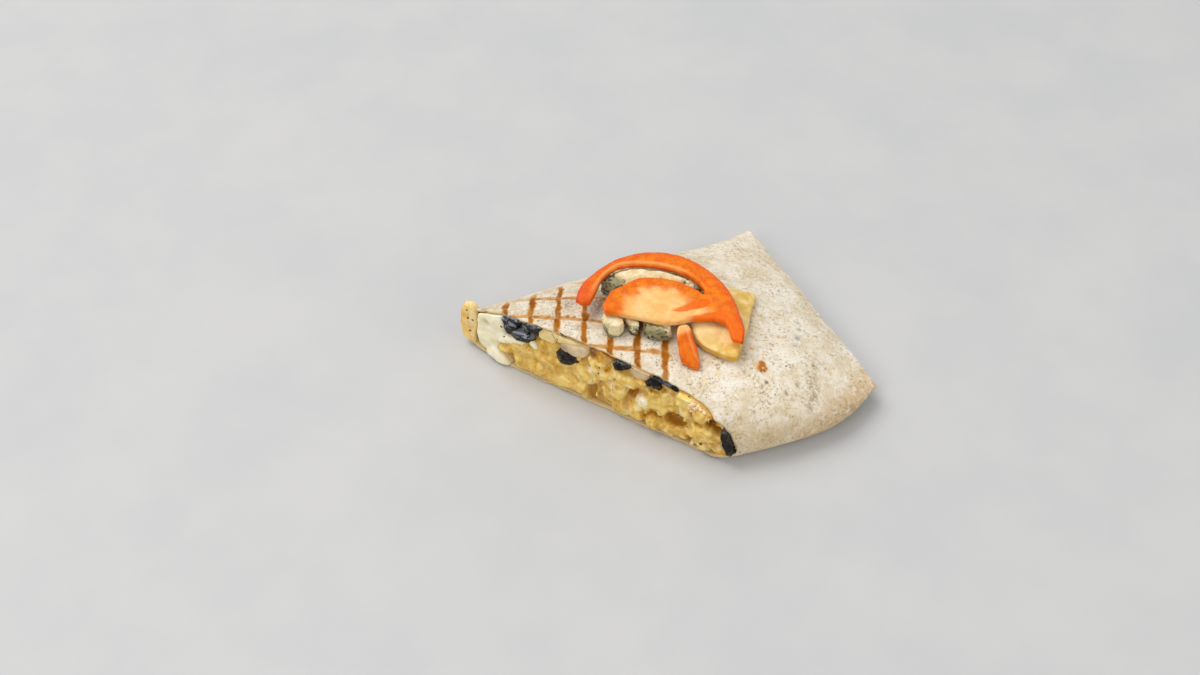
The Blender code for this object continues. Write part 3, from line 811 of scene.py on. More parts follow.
# %% Tortilla finish
low = fade(tree, axes["Z"], 6.0, 0.5)
toasty = group(tree, patches, place, size=5.0, start=0.36, stop=0.62, detail=4.0)
colour = tint(tree, colour, (190, 140, 92), low, toasty, 0.75)
colour = tint(tree, colour, (226, 200, 146), attribute(tree, "inside"))
tree.links.new(colour, shader.inputs["Base Color"])
dryness = maths(tree, "MULTIPLY_ADD", cloudy, 0.12, 0.56)
tree.links.new(maths(tree, "SUBTRACT", dryness, times(tree, marks, 0.1)), shader.inputs["Roughness"])
raise_surface(tree, shader, noise_at(tree, place, 1.3, 5.0, roughness=0.7), 0.0006)
hand_over(tortilla, finish, "tortilla", "tortilla")

# %% [markdown]
# ## Pieces that show at the cut
#
# The knife went through the filling, so each ingredient shows a cut end. A small function makes
# such an end from an outline drawn on the cut: it rounds the outline, pushes its middle out and
# gives it a body behind. Several ends joined and kneaded become one soft mass.

# %% Lumps at the cut
def rounded(outline, count=36, rounds=3):
    """A closed line through the outline's corners with even steps and soft corners."""
    corners = np.array(outline, float)
    loop = np.concatenate([corners, corners[:1]])
    lengths = np.concatenate([[0], np.cumsum(np.linalg.norm(np.diff(loop, axis=0), axis=1))])
    steps = np.linspace(0, lengths[-1], count, endpoint=False)
    line = np.stack([np.interp(steps, lengths, loop[:, k]) for k in (0, 1)], axis=1)
    for _ in range(rounds):
        line = 0.25 * np.roll(line, 1, axis=0) + 0.5 * line + 0.25 * np.roll(line, -1, axis=0)
    return line


def cut_end(outline, front, back=-7.0, edge=1.4, rounds=3):
    """A lump with that outline on the cut, its face at `front` and its body going in to `back`."""
    line = rounded(outline, rounds=rounds)
    middle = line.mean(axis=0)
    levels = [(0.5, back), (0.9, back), (1.0, back + edge), (1.0, front - edge), (0.95, front - 0.45 * edge),
              (0.84, front - 0.1 * edge), (0.5, front + 0.12 * edge)]
    points = []
    for scale, out in levels:
        ring = middle + (line - middle) * scale
        points.append(face_point(ring[:, 0], ring[:, 1], out))
    count = len(line)
    faces = grid_quads(len(levels), count)
    points = np.concatenate([*points, face_point(middle[:1], middle[1:], back),
                             face_point(middle[:1], middle[1:], front + 0.15 * edge)])
    last, behind, before = (len(levels) - 1) * count, len(points) - 2, len(points) - 1
    for i in range(count):
        faces.append((i, (i + 1) % count, behind))
        faces.append((last + i, last + (i + 1) % count, before))
    return make_object("lump", points, faces)

# %% [markdown]
# The camera sees a piece that stands out of the cut a little lower and further left than where
# it starts, because it looks down on it. This helper moves an outline that was drawn as it
# looks, so that it still looks the same when its face stands proud. The lower edge moves most,
# because the eye sees it at the face, and sees the upper edge where the piece's top goes in.

# %% Outlines as seen
EYE = np.array(camera.location) / MM + CENTRE
EYE_ON_CUT = np.array([(EYE - [CUT_X, 0, 0]) @ CUT_RUN, EYE[2]])
EYE_OUT = float((EYE - [CUT_X, 0, 0]) @ CUT_OUT)


def as_seen(outline, front):
    """The true outline of a piece whose face stands `front` out of the cut."""
    points = np.array(outline, float)
    lowness = (points[:, 1].max() - points[:, 1]) / max(np.ptp(points[:, 1]), 1e-6)
    out = front * (0.3 + 0.7 * lowness) - set_back(points[:, 0])
    k = (out / (EYE_OUT - out))[:, None]
    return (points + k * EYE_ON_CUT) / (1 + k)


def seen_place(points):
    """Run and height on the cut's plane at which the camera sees points."""
    run, height, out = face_place(points)
    out = out - set_back(run)
    share = -out / (EYE_OUT - out)
    return run + (EYE_ON_CUT[0] - run) * share, height + (EYE_ON_CUT[1] - height) * share


def blob(run, height, centre, size, power=2):
    """1 at a centre on the cut and fading to 0 at a distance of about the size from it."""
    return np.exp(-(((run - centre[0]) / size[0]) ** power + ((height - centre[1]) / size[1]) ** power))


print("the camera looks at the cut from", EYE_ON_CUT.round(0), "and", round(EYE_OUT), "mm out")

# %% [markdown]
# The tortilla goes round more than once in places. Under its top edge lies a second, paler layer,
# and at the far end a fold has soaked up yellow sauce. Both are sheets that follow the cut's
# outline, a few millimetres thick, with their own wrinkles.

# %% Inner folds of the tortilla
# Outline as seen, how far its face stands out, how far it goes in
FOLDS = [
    ([(-58.8, 25.0), (-61.0, 18.3), (-61.9, 11), (-61.6, 7.5), (-60.3, 4.4), (-57.8, 2.2), (-56.6, 3.5),
      (-57.0, 9), (-56.8, 15), (-56.4, 21), (-57.0, 25.6)], 0.8, -2.5),
    ([(-57.4, 25.6), (-57.0, 15), (-57.4, 5), (-56.2, 1.4), (-54.4, 2.4), (-54.6, 8.2), (-53.4, 13.5),
      (-53.6, 21.9), (-55.2, 26.0)], 0.2, -3.5),
    ([(-24.6, 24.2), (-24.0, 28.6), (-21.0, 31.4), (-16.8, 32.4), (-16.4, 27.6), (-15.6, 23.8),
      (-20.0, 23.4)], 0.1, -10.0),
    ([(-16.0, 24.4), (-16.2, 32.0), (-8.0, 33.2), (0.0, 33.2), (0.2, 30.8), (-5.8, 29.6), (-8.8, 27.2),
      (-13.0, 26.8)], 0.3, -10.0),
]
FAR_END = -50.0       # folds beyond this run stand free at the far end
LOWEST = 0.4
folds = joined("tortilla_inner_folds", [cut_end(as_seen(outline, front), front, back, 0.8)
                                        for outline, front, back in FOLDS])
knead(folds, 0.4, 3)
spots, normal = spots_of(folds), normals_of(folds)
run, height, out = face_place(spots)
at_far_end = run < FAR_END
stained_part = ramp(run, -56.6, -57.8)
wrinkle = 0.35 * uneven(spots, (2.2, 2.2, 6.0), 71.0) * at_far_end + 0.3 * uneven(spots, 3.2, 72.0)
spots += normal * wrinkle[:, None]
spots = np.where(at_far_end[:, None], spots, under_sheet(spots, 0.1))
spots[:, 2] = np.maximum(spots[:, 2], LOWEST)
move(folds, spots)
paint(folds, "stain", stained_part)

# %% Crust, and painted shade in a crack of the folds
# The crack's upper end on the cut, and the way from there to its lower end
CRACK_TOP, CRACK_LINE, CRACK_WIDTH = np.array([-17.4, 29.7]), np.array([1.9, -3.5]), 0.32
top_crust = ramp(height + 0.8 * uneven(spots, 2.0, 73.0), 31.0, 31.8) * (run > -20)
run, height = seen_place(spots)
end_crust = blob(run, height, (-22.4, 30.4), (1.9, 1.2))
# The crack is a thin dark line of painted shade, in the crust's colour
from_top = np.stack([run, height], axis=1) - CRACK_TOP
share = np.clip(from_top @ CRACK_LINE / (CRACK_LINE @ CRACK_LINE), 0, 1)
crack_shade = np.exp(-(np.hypot(*(from_top - share[:, None] * CRACK_LINE).T) / CRACK_WIDTH) ** 2)
paint(folds, "crust_and_crack_shade", np.max([top_crust, end_crust, crack_shade], axis=0))

finish, tree, shader, place = new_finish("inner folds", 0.5, coat=0.05, softness=0.12, bleed=(1.0, 0.75, 0.4))
cloudy = group(tree, patches, place, size=4.0, start=0.38, stop=0.62, detail=4.0)
dots = group(tree, specks, place, spacing=3.6, radius=0.55, share=0.35)
dough = mixed(tree, cloudy, (236, 200, 120), (250, 226, 164))
soaked = mixed(tree, cloudy, (236, 186, 92), (250, 218, 142))
dough = mixed(tree, attribute(tree, "stain"), dough, soaked)
# Crust, and painted shade along the crack
dough = tint(tree, dough, (152, 108, 66), attribute(tree, "crust_and_crack_shade"), 0.75)
dough = tint(tree, dough, (70, 48, 28), dots, 0.85)
tree.links.new(dough, shader.inputs["Base Color"])
raise_surface(tree, shader, noise_at(tree, place, 1.2, 4.0), 0.0004)
hand_over(folds, finish, "tortilla")

# %% [markdown]
# ## Fries in cheese sauce
#
# The yellow mass is made of soft fries that were pressed into a cheese sauce. The knife shows
# their square ends, smears between them, and holes where one has been pulled out. A slab with
# the tortilla's inner shape holds everything together. Geometry Nodes scatters rounded bars over
# the face, one for each point of a small mesh, with the size and turn that each point carries.

# %% Places of the fries
# Run, height, half width, half height, turn in degrees, front, paleness
FRY_ENDS = [
    (5.3, 26.2, 3.4, 3.8, 8, 0.2, 0.35), (2.2, 20.3, 3.6, 4.4, 15, 1.2, 0.80),
    (14.0, 20.6, 3.8, 2.9, -6, 1.9, 0.80), (22.6, 12.8, 3.0, 3.2, 20, 2.2, 1.00),
    (40.6, 24.4, 3.6, 5.0, 4, 0.9, 0.95), (47.4, 18.4, 4.2, 3.4, 10, 1.9, 0.45),
    (48.4, 9.6, 5.2, 4.0, -8, 2.4, 0.65), (48.3, 2.8, 2.6, 1.8, 0, 1.8, 0.95),
    (26.6, 3.2, 2.8, 3.4, 10, 2.8, 0.50), (19.6, 4.6, 3.6, 3.8, -15, 1.7, 0.45),
    (33.6, 4.0, 4.0, 3.2, 12, 1.2, 0.50), (56.4, 5.2, 4.0, 3.4, 25, 0.9, 0.35),
    (54.5, 11.4, 3.2, 2.6, 30, 0.9, 0.40), (28.8, 15.8, 4.8, 4.2, -10, 1.3, 0.75),
    (33.2, 20.8, 3.4, 3.2, 5, 0.5, 0.75), (9.5, 12.0, 5.2, 5.0, 12, 1.6, 0.60),
    (12.6, 4.4, 5.0, 4.2, -5, 1.4, 0.50), (-5.0, 4.8, 6.6, 4.4, 3, 1.3, 0.62),
    (-14.5, 4.4, 7.4, 4.2, -3, 1.2, 0.62), (-24.0, 4.6, 6.4, 4.4, 3, 1.1, 0.50),
    (-32.4, 4.8, 4.8, 4.6, -2, 1.0, 0.55), (-30.0, 12.0, 9.4, 4.2, -12, 0.8, 0.55),
    (-17.0, 12.0, 9.0, 4.6, -8, 0.9, 0.50), (-4.0, 13.2, 5.6, 4.6, 10, 1.2, 0.60),
    (-20.0, 19.4, 6.6, 4.4, -16, 0.4, 0.45), (-7.8, 18.0, 4.6, 3.4, 0, 0.5, 0.45),
    (6.4, 17.4, 2.8, 3.0, 20, 1.4, 0.60), (20.5, 21.6, 3.4, 2.6, 0, 0.8, 0.35),
    (10.5, 22.0, 3.0, 2.6, 5, 1.0, 0.50), (41.0, 17.2, 2.4, 2.0, 0, 1.0, 0.70),
    (40.5, 5.0, 3.2, 3.0, 5, 1.0, 0.45), (-40.2, 8.2, 4.0, 1.9, -16, 0.9, 0.70),
    (36.5, 9.0, 3.0, 3.6, 0, -1.0, 0.30), (60.2, 5.0, 3.4, 3.6, 30, 0.2, 0.30),
    (6.4, 28.6, 4.4, 3.6, 0, 0.2, 0.15), (33.0, 25.4, 3.4, 3.4, 0, 0.0, 0.45),
]
CRUMBS_OF_FRIES = 120
FRY_HALF_LENGTH = 5.5
SEEN_SHIFT = 0.55, 0.8        # run and height that a millimetre of standing proud hides
random = np.random.default_rng(7)


def fry_crumb():
    """A small bit of fry at a random place: the same seven values as for a fry's end."""
    run, height = random.uniform(-8, 56), random.uniform(4, 25)
    if run > 44:
        height *= 0.6
    half = random.uniform(0.5, 1.3)
    return (run, height, half, half * random.uniform(0.6, 1.2), random.uniform(0, 90),
            random.uniform(0.2, 1.5), random.uniform(0.3, 0.9))


ends = np.array(FRY_ENDS + [fry_crumb() for _ in range(CRUMBS_OF_FRIES)])
front = ends[:, 5]
ends[:, 0] += SEEN_SHIFT[0] * front
ends[:, 1] += SEEN_SHIFT[1] * front
deep = np.where(np.arange(len(ends)) < len(FRY_ENDS), FRY_HALF_LENGTH, ends[:, 2])
print("fry ends:", len(FRY_ENDS), "crumbs:", CRUMBS_OF_FRIES)

# %% A Geometry Nodes tree that scatters pieces
INPUTS = {"Geometry": "Geometry", "Piece": "Object", "Size": "Float", "Heading": "Float",
          "Loose turn": "Float", "Material": "Material"}
nodes = bpy.data.node_groups.new("scattered pieces", "GeometryNodeTree")
for label, kind in INPUTS.items():
    nodes.interface.new_socket(label, in_out="INPUT", socket_type="NodeSocket" + kind)
nodes.interface.new_socket("Geometry", in_out="OUTPUT", socket_type="NodeSocketGeometry")
given, result = add(nodes, "NodeGroupInput").outputs, add(nodes, "NodeGroupOutput").inputs


def carried(name):
    """A value that each point of the small mesh carries."""
    node = add(nodes, "GeometryNodeInputNamedAttribute", {"Name": name}, data_type="FLOAT")
    return node.outputs["Attribute"]


def scaled(vector, factor):
    """A vector made longer or shorter."""
    return add(nodes, "ShaderNodeVectorMath", {0: vector, "Scale": factor}, operation="SCALE").outputs[0]


extent = add(nodes, "ShaderNodeCombineXYZ",
             {"X": carried("wide"), "Y": carried("deep"), "Z": carried("high")})
sway = add(nodes, "FunctionNodeRandomValue", {"Min": (-1, -1, -1), "Max": (1, 1, 1), "Seed": 3},
           data_type="FLOAT_VECTOR")
aim = add(nodes, "ShaderNodeCombineXYZ", {"Y": carried("turn"), "Z": given["Heading"]})
swayed = scaled(sway.outputs[0], given["Loose turn"])
turned = add(nodes, "ShaderNodeVectorMath", {0: aim.outputs[0], 1: swayed}, operation="ADD")
piece = add(nodes, "GeometryNodeObjectInfo", {"Object": given["Piece"]})
placed = add(nodes, "GeometryNodeInstanceOnPoints", {
    "Points": given["Geometry"], "Instance": piece.outputs["Geometry"],
    "Rotation": turned.outputs[0], "Scale": scaled(extent.outputs[0], given["Size"])})
real = add(nodes, "GeometryNodeRealizeInstances", {"Geometry": placed.outputs[0]})
coated = add(nodes, "GeometryNodeSetMaterial", {"Geometry": real.outputs[0], "Material": given["Material"]})
nodes.links.new(coated.outputs[0], result["Geometry"])
print("nodes in the tree:", len(nodes.nodes))

# %% Scattering the fries
def by_nodes(thing, tree, **values):
    """Runs a Geometry Nodes tree on an object with named inputs, and keeps the plain mesh."""
    modifier = thing.modifiers.new(tree.name, "NODES")
    modifier.node_group = tree
    ids = {item.name: item.identifier for item in tree.interface.items_tree if item.in_out == "INPUT"}
    for name, value in values.items():
        modifier[ids[name.replace("_", " ")]] = value
    return settle(thing)


def scattered(name, rows, deep, piece, loose_turn, finish=None):
    """Puts a copy of a piece at each row: run, height, half width, half height, turn, front."""
    run, height, wide, high, turn, front = rows[:, :6].T
    places = (face_point(run, height, front - deep) - CENTRE) * MM
    seeds = bpy.data.meshes.new(name)
    seeds.from_pydata(places.tolist(), [], [])
    for label, values in {"wide": wide, "high": high, "deep": deep, "turn": np.radians(turn)}.items():
        layer = seeds.attributes.new(label, "FLOAT", "POINT")
        layer.data.foreach_set("value", values.astype(np.float32))
    made = new_object(name, seeds)
    heading = math.atan2(CUT_RUN[1], CUT_RUN[0])
    by_nodes(made, nodes, Piece=piece, Size=MM, Heading=heading, Loose_turn=loose_turn, Material=finish)
    bpy.data.objects.remove(piece)
    print("scattered", name + ":", len(made.data.polygons), "faces")
    return made


bpy.ops.mesh.primitive_cube_add(size=2.0)
fry = bpy.context.object
bevel = fry.modifiers.new("round edges", "BEVEL")
bevel.width = 0.55
bevel.segments = 3
settle(fry)
finish, tree, shader, place = new_finish("fries in cheese sauce", 0.42, coat=0.28, softness=0.2,
                                         bleed=(1.0, 0.65, 0.2), gleam=0.3)
fries = scattered("fries", ends, deep, fry, 0.16, finish)

# %% Fries kneaded into the sauce
slab_rows = skin_point(np.linspace(0.018, 0.17, 10)[:, None], turn[:, ::3], 1.55, END_INSET)
columns = slab_rows.shape[1]
faces = grid_quads(len(slab_rows), columns)
faces += lid_quads(0, columns) + lid_quads((len(slab_rows) - 1) * columns, columns)
slab = make_object("slab", slab_rows.reshape(-1, 3), faces)
mass = joined("fries_in_sauce", [slab, fries])
knead(mass, 0.48, 6)
spots = spots_of(mass)
run, height, out = face_place(spots)
print("kneaded:", len(spots), "points")

# %% Hollows between the fries
# Run, height, half width, half height, turn, depth
HOLLOWS = [
    (1.0, 8.0, 2.4, 4.6, 0, 3.2), (19.4, 18.0, 2.0, 3.8, -18, 3.6), (38.2, 13.3, 4.6, 3.2, 14, 4.0),
    (52.8, 20.9, 1.8, 3.0, -20, 4.5), (56.0, 18.0, 3.2, 1.7, -20, 4.0),
    (49.0, 5.4, 0.7, 0.7, 0, 1.6), (4.0, 23.4, 0.6, 2.0, 25, 1.6), (-30.5, 7.6, 2.0, 3.8, 0, 0.8),
    (16.4, 9.6, 1.3, 4.0, 15, 1.6), (24.5, 8.6, 1.0, 2.8, 20, 2.0), (44.0, 6.0, 0.9, 3.0, 0, 1.8),
    (31.5, 8.6, 1.6, 2.0, 30, 2.0), (7.0, 22.4, 0.7, 1.0, 0, 1.4), (3.4, 19.4, 0.5, 0.5, 0, 1.2),
    (12.6, 16.6, 2.6, 0.8, -10, 1.2), (-12.0, 9.0, 5.0, 0.7, -12, 0.8),
    (44.6, 21.0, 0.8, 3.0, 10, 2.0), (28.0, 10.0, 3.0, 0.8, 20, 1.6),
    (52.4, 13.6, 3.4, 0.8, -20, 1.8), (31.6, 26.4, 2.4, 1.6, 0, 1.4),
    (-33.6, 24.2, 4.2, 2.6, -20, 3.0),
]


def hollow_depth(run, height, hollow):
    """How deep a hollow is at places on the cut. Its place is given as seen, so it is moved first."""
    *centre, wide, high, turn, depth = hollow
    inwards = -0.5 * depth / (EYE_OUT + 0.5 * depth)
    centre_run, centre_height = (centre + inwards * EYE_ON_CUT) / (1 + inwards)
    run, height, turn = run - centre_run, height - centre_height, math.radians(turn)
    along = (run * math.cos(turn) + height * math.sin(turn)) / wide
    across = (height * math.cos(turn) - run * math.sin(turn)) / high
    return depth * np.clip(1.15 - along * along - across * across, 0, 1) ** 0.8


pressed = np.max([hollow_depth(run, height, hollow) for hollow in HOLLOWS], axis=0)
facing = ramp(out, -4.0, -1.0)
spots += CUT_OUT * (-(pressed * facing))[:, None]
move(mass, spots)
normal = normals_of(mass)
crumbly = np.clip((run + 14) / 16, 0.12, 1)
grain = 0.40 * uneven(spots, 3.6, 11.0) + relief(spots, (0.22, 1.6, 12.0), (0.05, 0.8, 13.0)) * crumbly
grain += 0.45 * uneven(spots, (9.0, 9.0, 4.0), 14.0) * (1 - crumbly)
spots += normal * (grain * facing)[:, None]
move(mass, under_sheet(spots))
print("hollows:", len(HOLLOWS))

# %% Painted values of the fries
# Run, height, half width, half height of white flecks and of browned bits
SPOTS_ON_FRIES = {
    "fleck": [(22.6, 14.0, 2.2, 3.2), (9.4, 14.6, 0.8, 3.0), (-0.2, 18.8, 1.0, 1.6), (46.4, 3.4, 1.2, 1.0)],
    "brown": [(1.0, 29.6, 1.5, 3.2), (8.6, 31.2, 3.6, 1.4), (52.8, 20.9, 2.0, 2.6), (36.0, 29.0, 4.0, 0.9)],
}
PLAIN_PALENESS = 0.4
spots = spots_of(mass)
_, _, out = face_place(spots)
run, height = seen_place(spots)
pale, weight = np.zeros(len(spots)), np.full(len(spots), 1e-6)
for centre_run, centre_height, wide, high, _, _, paleness in FRY_ENDS:
    near_it = blob(run, height, (centre_run, centre_height), (wide, high), 4)
    pale += paleness * near_it
    weight += near_it
paint(mass, "pale", np.where(weight > 0.05, pale / weight, PLAIN_PALENESS))
for name, places in SPOTS_ON_FRIES.items():
    paint(mass, name, np.max([blob(run, height, where[:2], where[2:], 4) for where in places], axis=0))
paint(mass, "loose", ramp(run, -12.0, 2.0))
# hollow: painted shade, darker the further a point lies behind the face and in the pressed hollows
paint(mass, "hollow", np.clip((0.4 - out) / 3.4 + 0.10 * pressed, 0, 1))

# %% Fries material
pale, hollow, loose = (attribute(tree, name) for name in ("pale", "hollow", "loose"))
streaks = noise_at(tree, place, 0.30, 2.5, roughness=0.5, distortion=1.2)
creamy = group(tree, patches, place, size=3.4, start=0.50, stop=0.66, detail=2.0)
golden = group(tree, patches, place, size=4.4, start=0.48, stop=0.68, detail=2.0)
white = group(tree, patches, place, size=1.2, start=0.40, stop=0.52)
dots = group(tree, specks, place, spacing=3.6, radius=0.30, share=0.16)
lightness = maths(tree, "ADD", maths(tree, "MULTIPLY", pale, 0.6), maths(tree, "SUBTRACT", streaks, 0.20))
body = mixed(tree, fade(tree, lightness, 0.25, 0.85), (200, 142, 28), (248, 214, 116))
body = tint(tree, body, (250, 234, 184), creamy, 0.6, maths(tree, "MULTIPLY_ADD", loose, 0.8, 0.2))
body = tint(tree, body, (204, 144, 16), golden, maths(tree, "MULTIPLY_ADD", pale, -0.5, 0.8))
# Painted shade in the hollows and behind the face
body = tint(tree, body, (180, 122, 26), fade(tree, hollow, 0.12, 0.9, 0.0, 0.9))
body = tint(tree, body, (254, 246, 230), attribute(tree, "fleck"), white)
body = tint(tree, body, mixed(tree, creamy, (138, 80, 14), (206, 146, 44)), attribute(tree, "brown"))
body = tint(tree, body, (84, 56, 30), dots, 0.8)
tree.links.new(body, shader.inputs["Base Color"])
tree.links.new(fade(tree, streaks, 0.3, 0.7, 0.24, 0.48), shader.inputs["Roughness"])
raise_surface(tree, shader, noise_at(tree, place, 1.5, 4.0, roughness=0.6), 0.0003)

# %% [markdown]
# Behind the face nobody sees single fries, so the CAD piece itself, cut back a little, stands
# for the rest of the mass. It is joined to the front as one piece.

# %% The mass behind the face
CORE_BACK = -8.0      # the core begins this far behind the cut


def core_of(node):
    """A copy of a CAD piece without what lies in front of a plane behind the cut."""
    core = node_copy(node, "core")
    level = (face_point(np.array(0.0), np.array(0.0), np.array(CORE_BACK)) - CENTRE) * MM
    with opened(core.data) as work:
        everything = work.verts[:] + work.edges[:] + work.faces[:]
        cut = bmesh.ops.bisect_plane(work, geom=everything, dist=1e-7, plane_co=level.tolist(),
                                     plane_no=CUT_OUT.tolist(), clear_outer=True)
        edges = [item for item in cut["geom_cut"] if isinstance(item, bmesh.types.BMEdge)]
        bmesh.ops.holes_fill(work, edges=edges, sides=0)
    return core


mass = joined("fries_in_sauce", [mass, core_of("fries_layer")])
hand_over(mass, finish, "fries", "fries_layer")

# %% [markdown]
# ## Cream sauce
#
# White sauce has run together at the far end of the cut. It is thick, so it holds soft shapes
# and follows what lies next to it: a tail runs along the bottom and a tongue under the olives.
# Its surface is smooth, which a strong smoothing after the remesh gives.

# %% Cream sauce
# Outline as seen, and how far its face stands out
CREAM_ENDS = [
    ([(-53.6, 2.5), (-54.2, 12), (-52.8, 21), (-49.5, 27), (-44, 29.2), (-40.5, 29), (-39.4, 21), (-40.6, 14),
      (-43, 9), (-46, 2)], 0.9),
    ([(-50.4, 1.4), (-47, 8), (-43.4, 7.0), (-40.4, 3.4), (-37.4, -1.0), (-39.5, -2.4), (-44.9, -0.8)], 1.5),
    ([(-44, 10), (-43.5, 17), (-37, 17.4), (-35, 14.8), (-38, 12.6)], 1.1),
    ([(-37, 14.2), (-37, 17.2), (-31, 18.4), (-30, 15.6)], 0.9),
    ([(-29.4, 17.6), (-27.4, 21.4), (-24.8, 18.4), (-24.6, 15.4)], 0.9),
]
DIMPLE, DIMPLE_SIZE, DIMPLE_DEPTH = (-48.2, 19.6), (2.0, 1.8), 1.5
CREAM_LOWEST = 0.5
cream = joined("cream_sauce_soft", [cut_end(as_seen(outline, front), front, -9.0, 1.8)
                                    for outline, front in CREAM_ENDS])
knead(cream, 0.45, 6)
spots, normal = spots_of(cream), normals_of(cream)
run, height, out = face_place(spots)
spots += normal * relief(spots, (0.55, 6.0, 21.0), (0.22, 2.4, 22.0))[:, None]
dimple = blob(run, height, DIMPLE, DIMPLE_SIZE)
spots += CUT_OUT * (-DIMPLE_DEPTH * dimple * (out > -1))[:, None]
free = (ramp(run, -50.0, -51.5) * ramp(out, -0.6, 0.2))[:, None]
spots = spots * free + under_sheet(spots) * (1 - free)
spots[:, 2] = np.maximum(spots[:, 2], CREAM_LOWEST)
move(cream, spots)
# dimple: painted shade in the pressed dimple
paint(cream, "dimple", dimple)

# %% Cream material
finish, tree, shader, place = new_finish("cream sauce", 0.33, coat=0.15, softness=0.25,
                                         bleed=(1.0, 0.85, 0.6))
cloudy = group(tree, patches, place, size=5.0, start=0.4, stop=0.62, detail=3.0)
oily = group(tree, patches, place, size=3.6, start=0.56, stop=0.7, detail=4.0)
colour = mixed(tree, cloudy, (250, 236, 196), (254, 248, 224))
colour = tint(tree, colour, (222, 192, 128), oily, 0.4)
# Painted shade in the dimple
colour = tint(tree, colour, (204, 186, 136), attribute(tree, "dimple"), 0.8)
tree.links.new(colour, shader.inputs["Base Color"])
raise_surface(tree, shader, noise_at(tree, place, 0.8, 3.0), 0.0003)
cream = joined("cream_sauce_soft", [cream, core_of("cream_sauce")])
hand_over(cream, finish, "cream", "cream_sauce")

# %% [markdown]
# ## Chicken
#
# Three pieces of chicken show along the top of the cut: a grey-beige one behind an olive, an
# oval one, and crumbs near the right end. Cooked chicken is matt and fibrous, so its bumps are
# long and thin, which stretched noise gives.

# %% Chicken pieces and crumbs
# Outline as seen, and how far its face stands out
CHICKEN_ENDS = [
    ([(-14.6, 22.6), (-13.8, 26.4), (-9.6, 28.2), (-3.2, 30.4), (-1.0, 29.0), (-1.4, 24.8), (-4.5, 22.2),
      (-10, 21.4)], 0.4),
    ([(16.4, 28.6), (16.8, 31.4), (20, 32.8), (24.6, 32.6), (26.2, 30), (25.4, 26.8), (22.6, 24.6),
      (18.6, 24.9)], -0.1),
]
CRUMBS = 60
CRUMBS_FROM, CRUMBS_REACH = 43.0, 9.0        # the crumbs lie along this stretch under the top edge
draw = np.random.default_rng(21)
share = draw.uniform(0, 1, CRUMBS) ** 1.4
half = draw.uniform(0.35, 0.85, CRUMBS) * (1.15 - 0.4 * share)
along_edge = CRUMBS_FROM + CRUMBS_REACH * share
above_all = 40.0
ceiling = under_sheet(face_point(along_edge, above_all), 0.1)[:, 2]
depth = draw.uniform(0, 3.4, CRUMBS) * (1.1 - 0.5 * share)
crumbs = np.stack([along_edge, ceiling - 0.6 * half - depth, half, half * draw.uniform(0.7, 1.1, CRUMBS),
                   draw.uniform(0, 90, CRUMBS), draw.uniform(0.0, 1.5, CRUMBS)], axis=1)
bpy.ops.mesh.primitive_ico_sphere_add(subdivisions=2, radius=1.0)
crumbled = scattered("chicken crumbs", crumbs, half, bpy.context.object, 0.5)
lumps = joined("chicken lumps", [cut_end(as_seen(outline, front), front, -9.0, 1.3, 5)
                                 for outline, front in CHICKEN_ENDS])
chicken = joined("chicken_pieces", [knead(lumps, 0.30, 2), crumbled])

# %% Fibres and painted values of the chicken
CRUMBLY_FROM = 38.0
# The fibres run across the cut's direction, so the noise is turned and stretched
FIBRE_TURN = np.array([[0.83, -0.55, 0.0], [0.55, 0.83, 0.0], [0.0, 0.0, 1.0]])
FIBRE_SIZE = (1.1, 4.0, 1.6)
spots, normal = spots_of(chicken), normals_of(chicken)
run, height = seen_place(spots)
crumbly = ramp(run, CRUMBLY_FROM, CRUMBLY_FROM + 4.0)
fibre = 0.22 * uneven(spots @ FIBRE_TURN, FIBRE_SIZE, 31.0)
lumpy = 0.45 * uneven(spots, 3.5, 32.0)
spots += normal * (fibre + lumpy + crumbly * 0.15 * uneven(spots, 1.3, 33.0))[:, None]
move(chicken, np.where((run < CRUMBLY_FROM)[:, None], under_sheet(spots, 0.1), spots))
upper_right = height + 0.45 * (21 - run) + 0.8 * uneven(spots, 2.4, 34.0)
paint(chicken, "mauve", blob(run, height, (-12.4, 24.6), (3.0, 1.6)))
paint(chicken, "peach", ramp(run, 5.0, 13.0))
paint(chicken, "crumb", ramp(run, 40.0, 42.0))
paint(chicken, "rim", ramp(upper_right, 30.4, 32.6) * (run > 5))

# %% Chicken material
finish, tree, shader, place = new_finish("cooked chicken", 0.48, coat=0.05, softness=0.12,
                                         bleed=(1.0, 0.6, 0.45))
cloudy = group(tree, patches, place, size=2.6, start=0.42, stop=0.62, detail=4.0)
meat = mixed(tree, attribute(tree, "peach"), (232, 206, 166), (222, 192, 150))
meat = tint(tree, meat, (208, 176, 134), cloudy, 0.5)
meat = tint(tree, meat, (232, 184, 112), attribute(tree, "rim"), 0.5)
meat = tint(tree, meat, (138, 112, 92), attribute(tree, "mauve"), 0.7)
meat = tint(tree, meat, (250, 216, 164), attribute(tree, "crumb"), 0.9)
tree.links.new(meat, shader.inputs["Base Color"])
raise_surface(tree, shader, noise_at(tree, place, 1.4, 4.0), 0.0004)
chicken = joined("chicken_pieces", [chicken, core_of("chicken_layer")])
hand_over(chicken, finish, "chicken", "chicken_layer")

# %% [markdown]
# A few flakes of pepper stick to the cut. Each must lie on whatever shows at its place, so a ray
# goes from the eye through that place and stops at the first ingredient. Geometry Nodes then puts
# a small flat bead there.

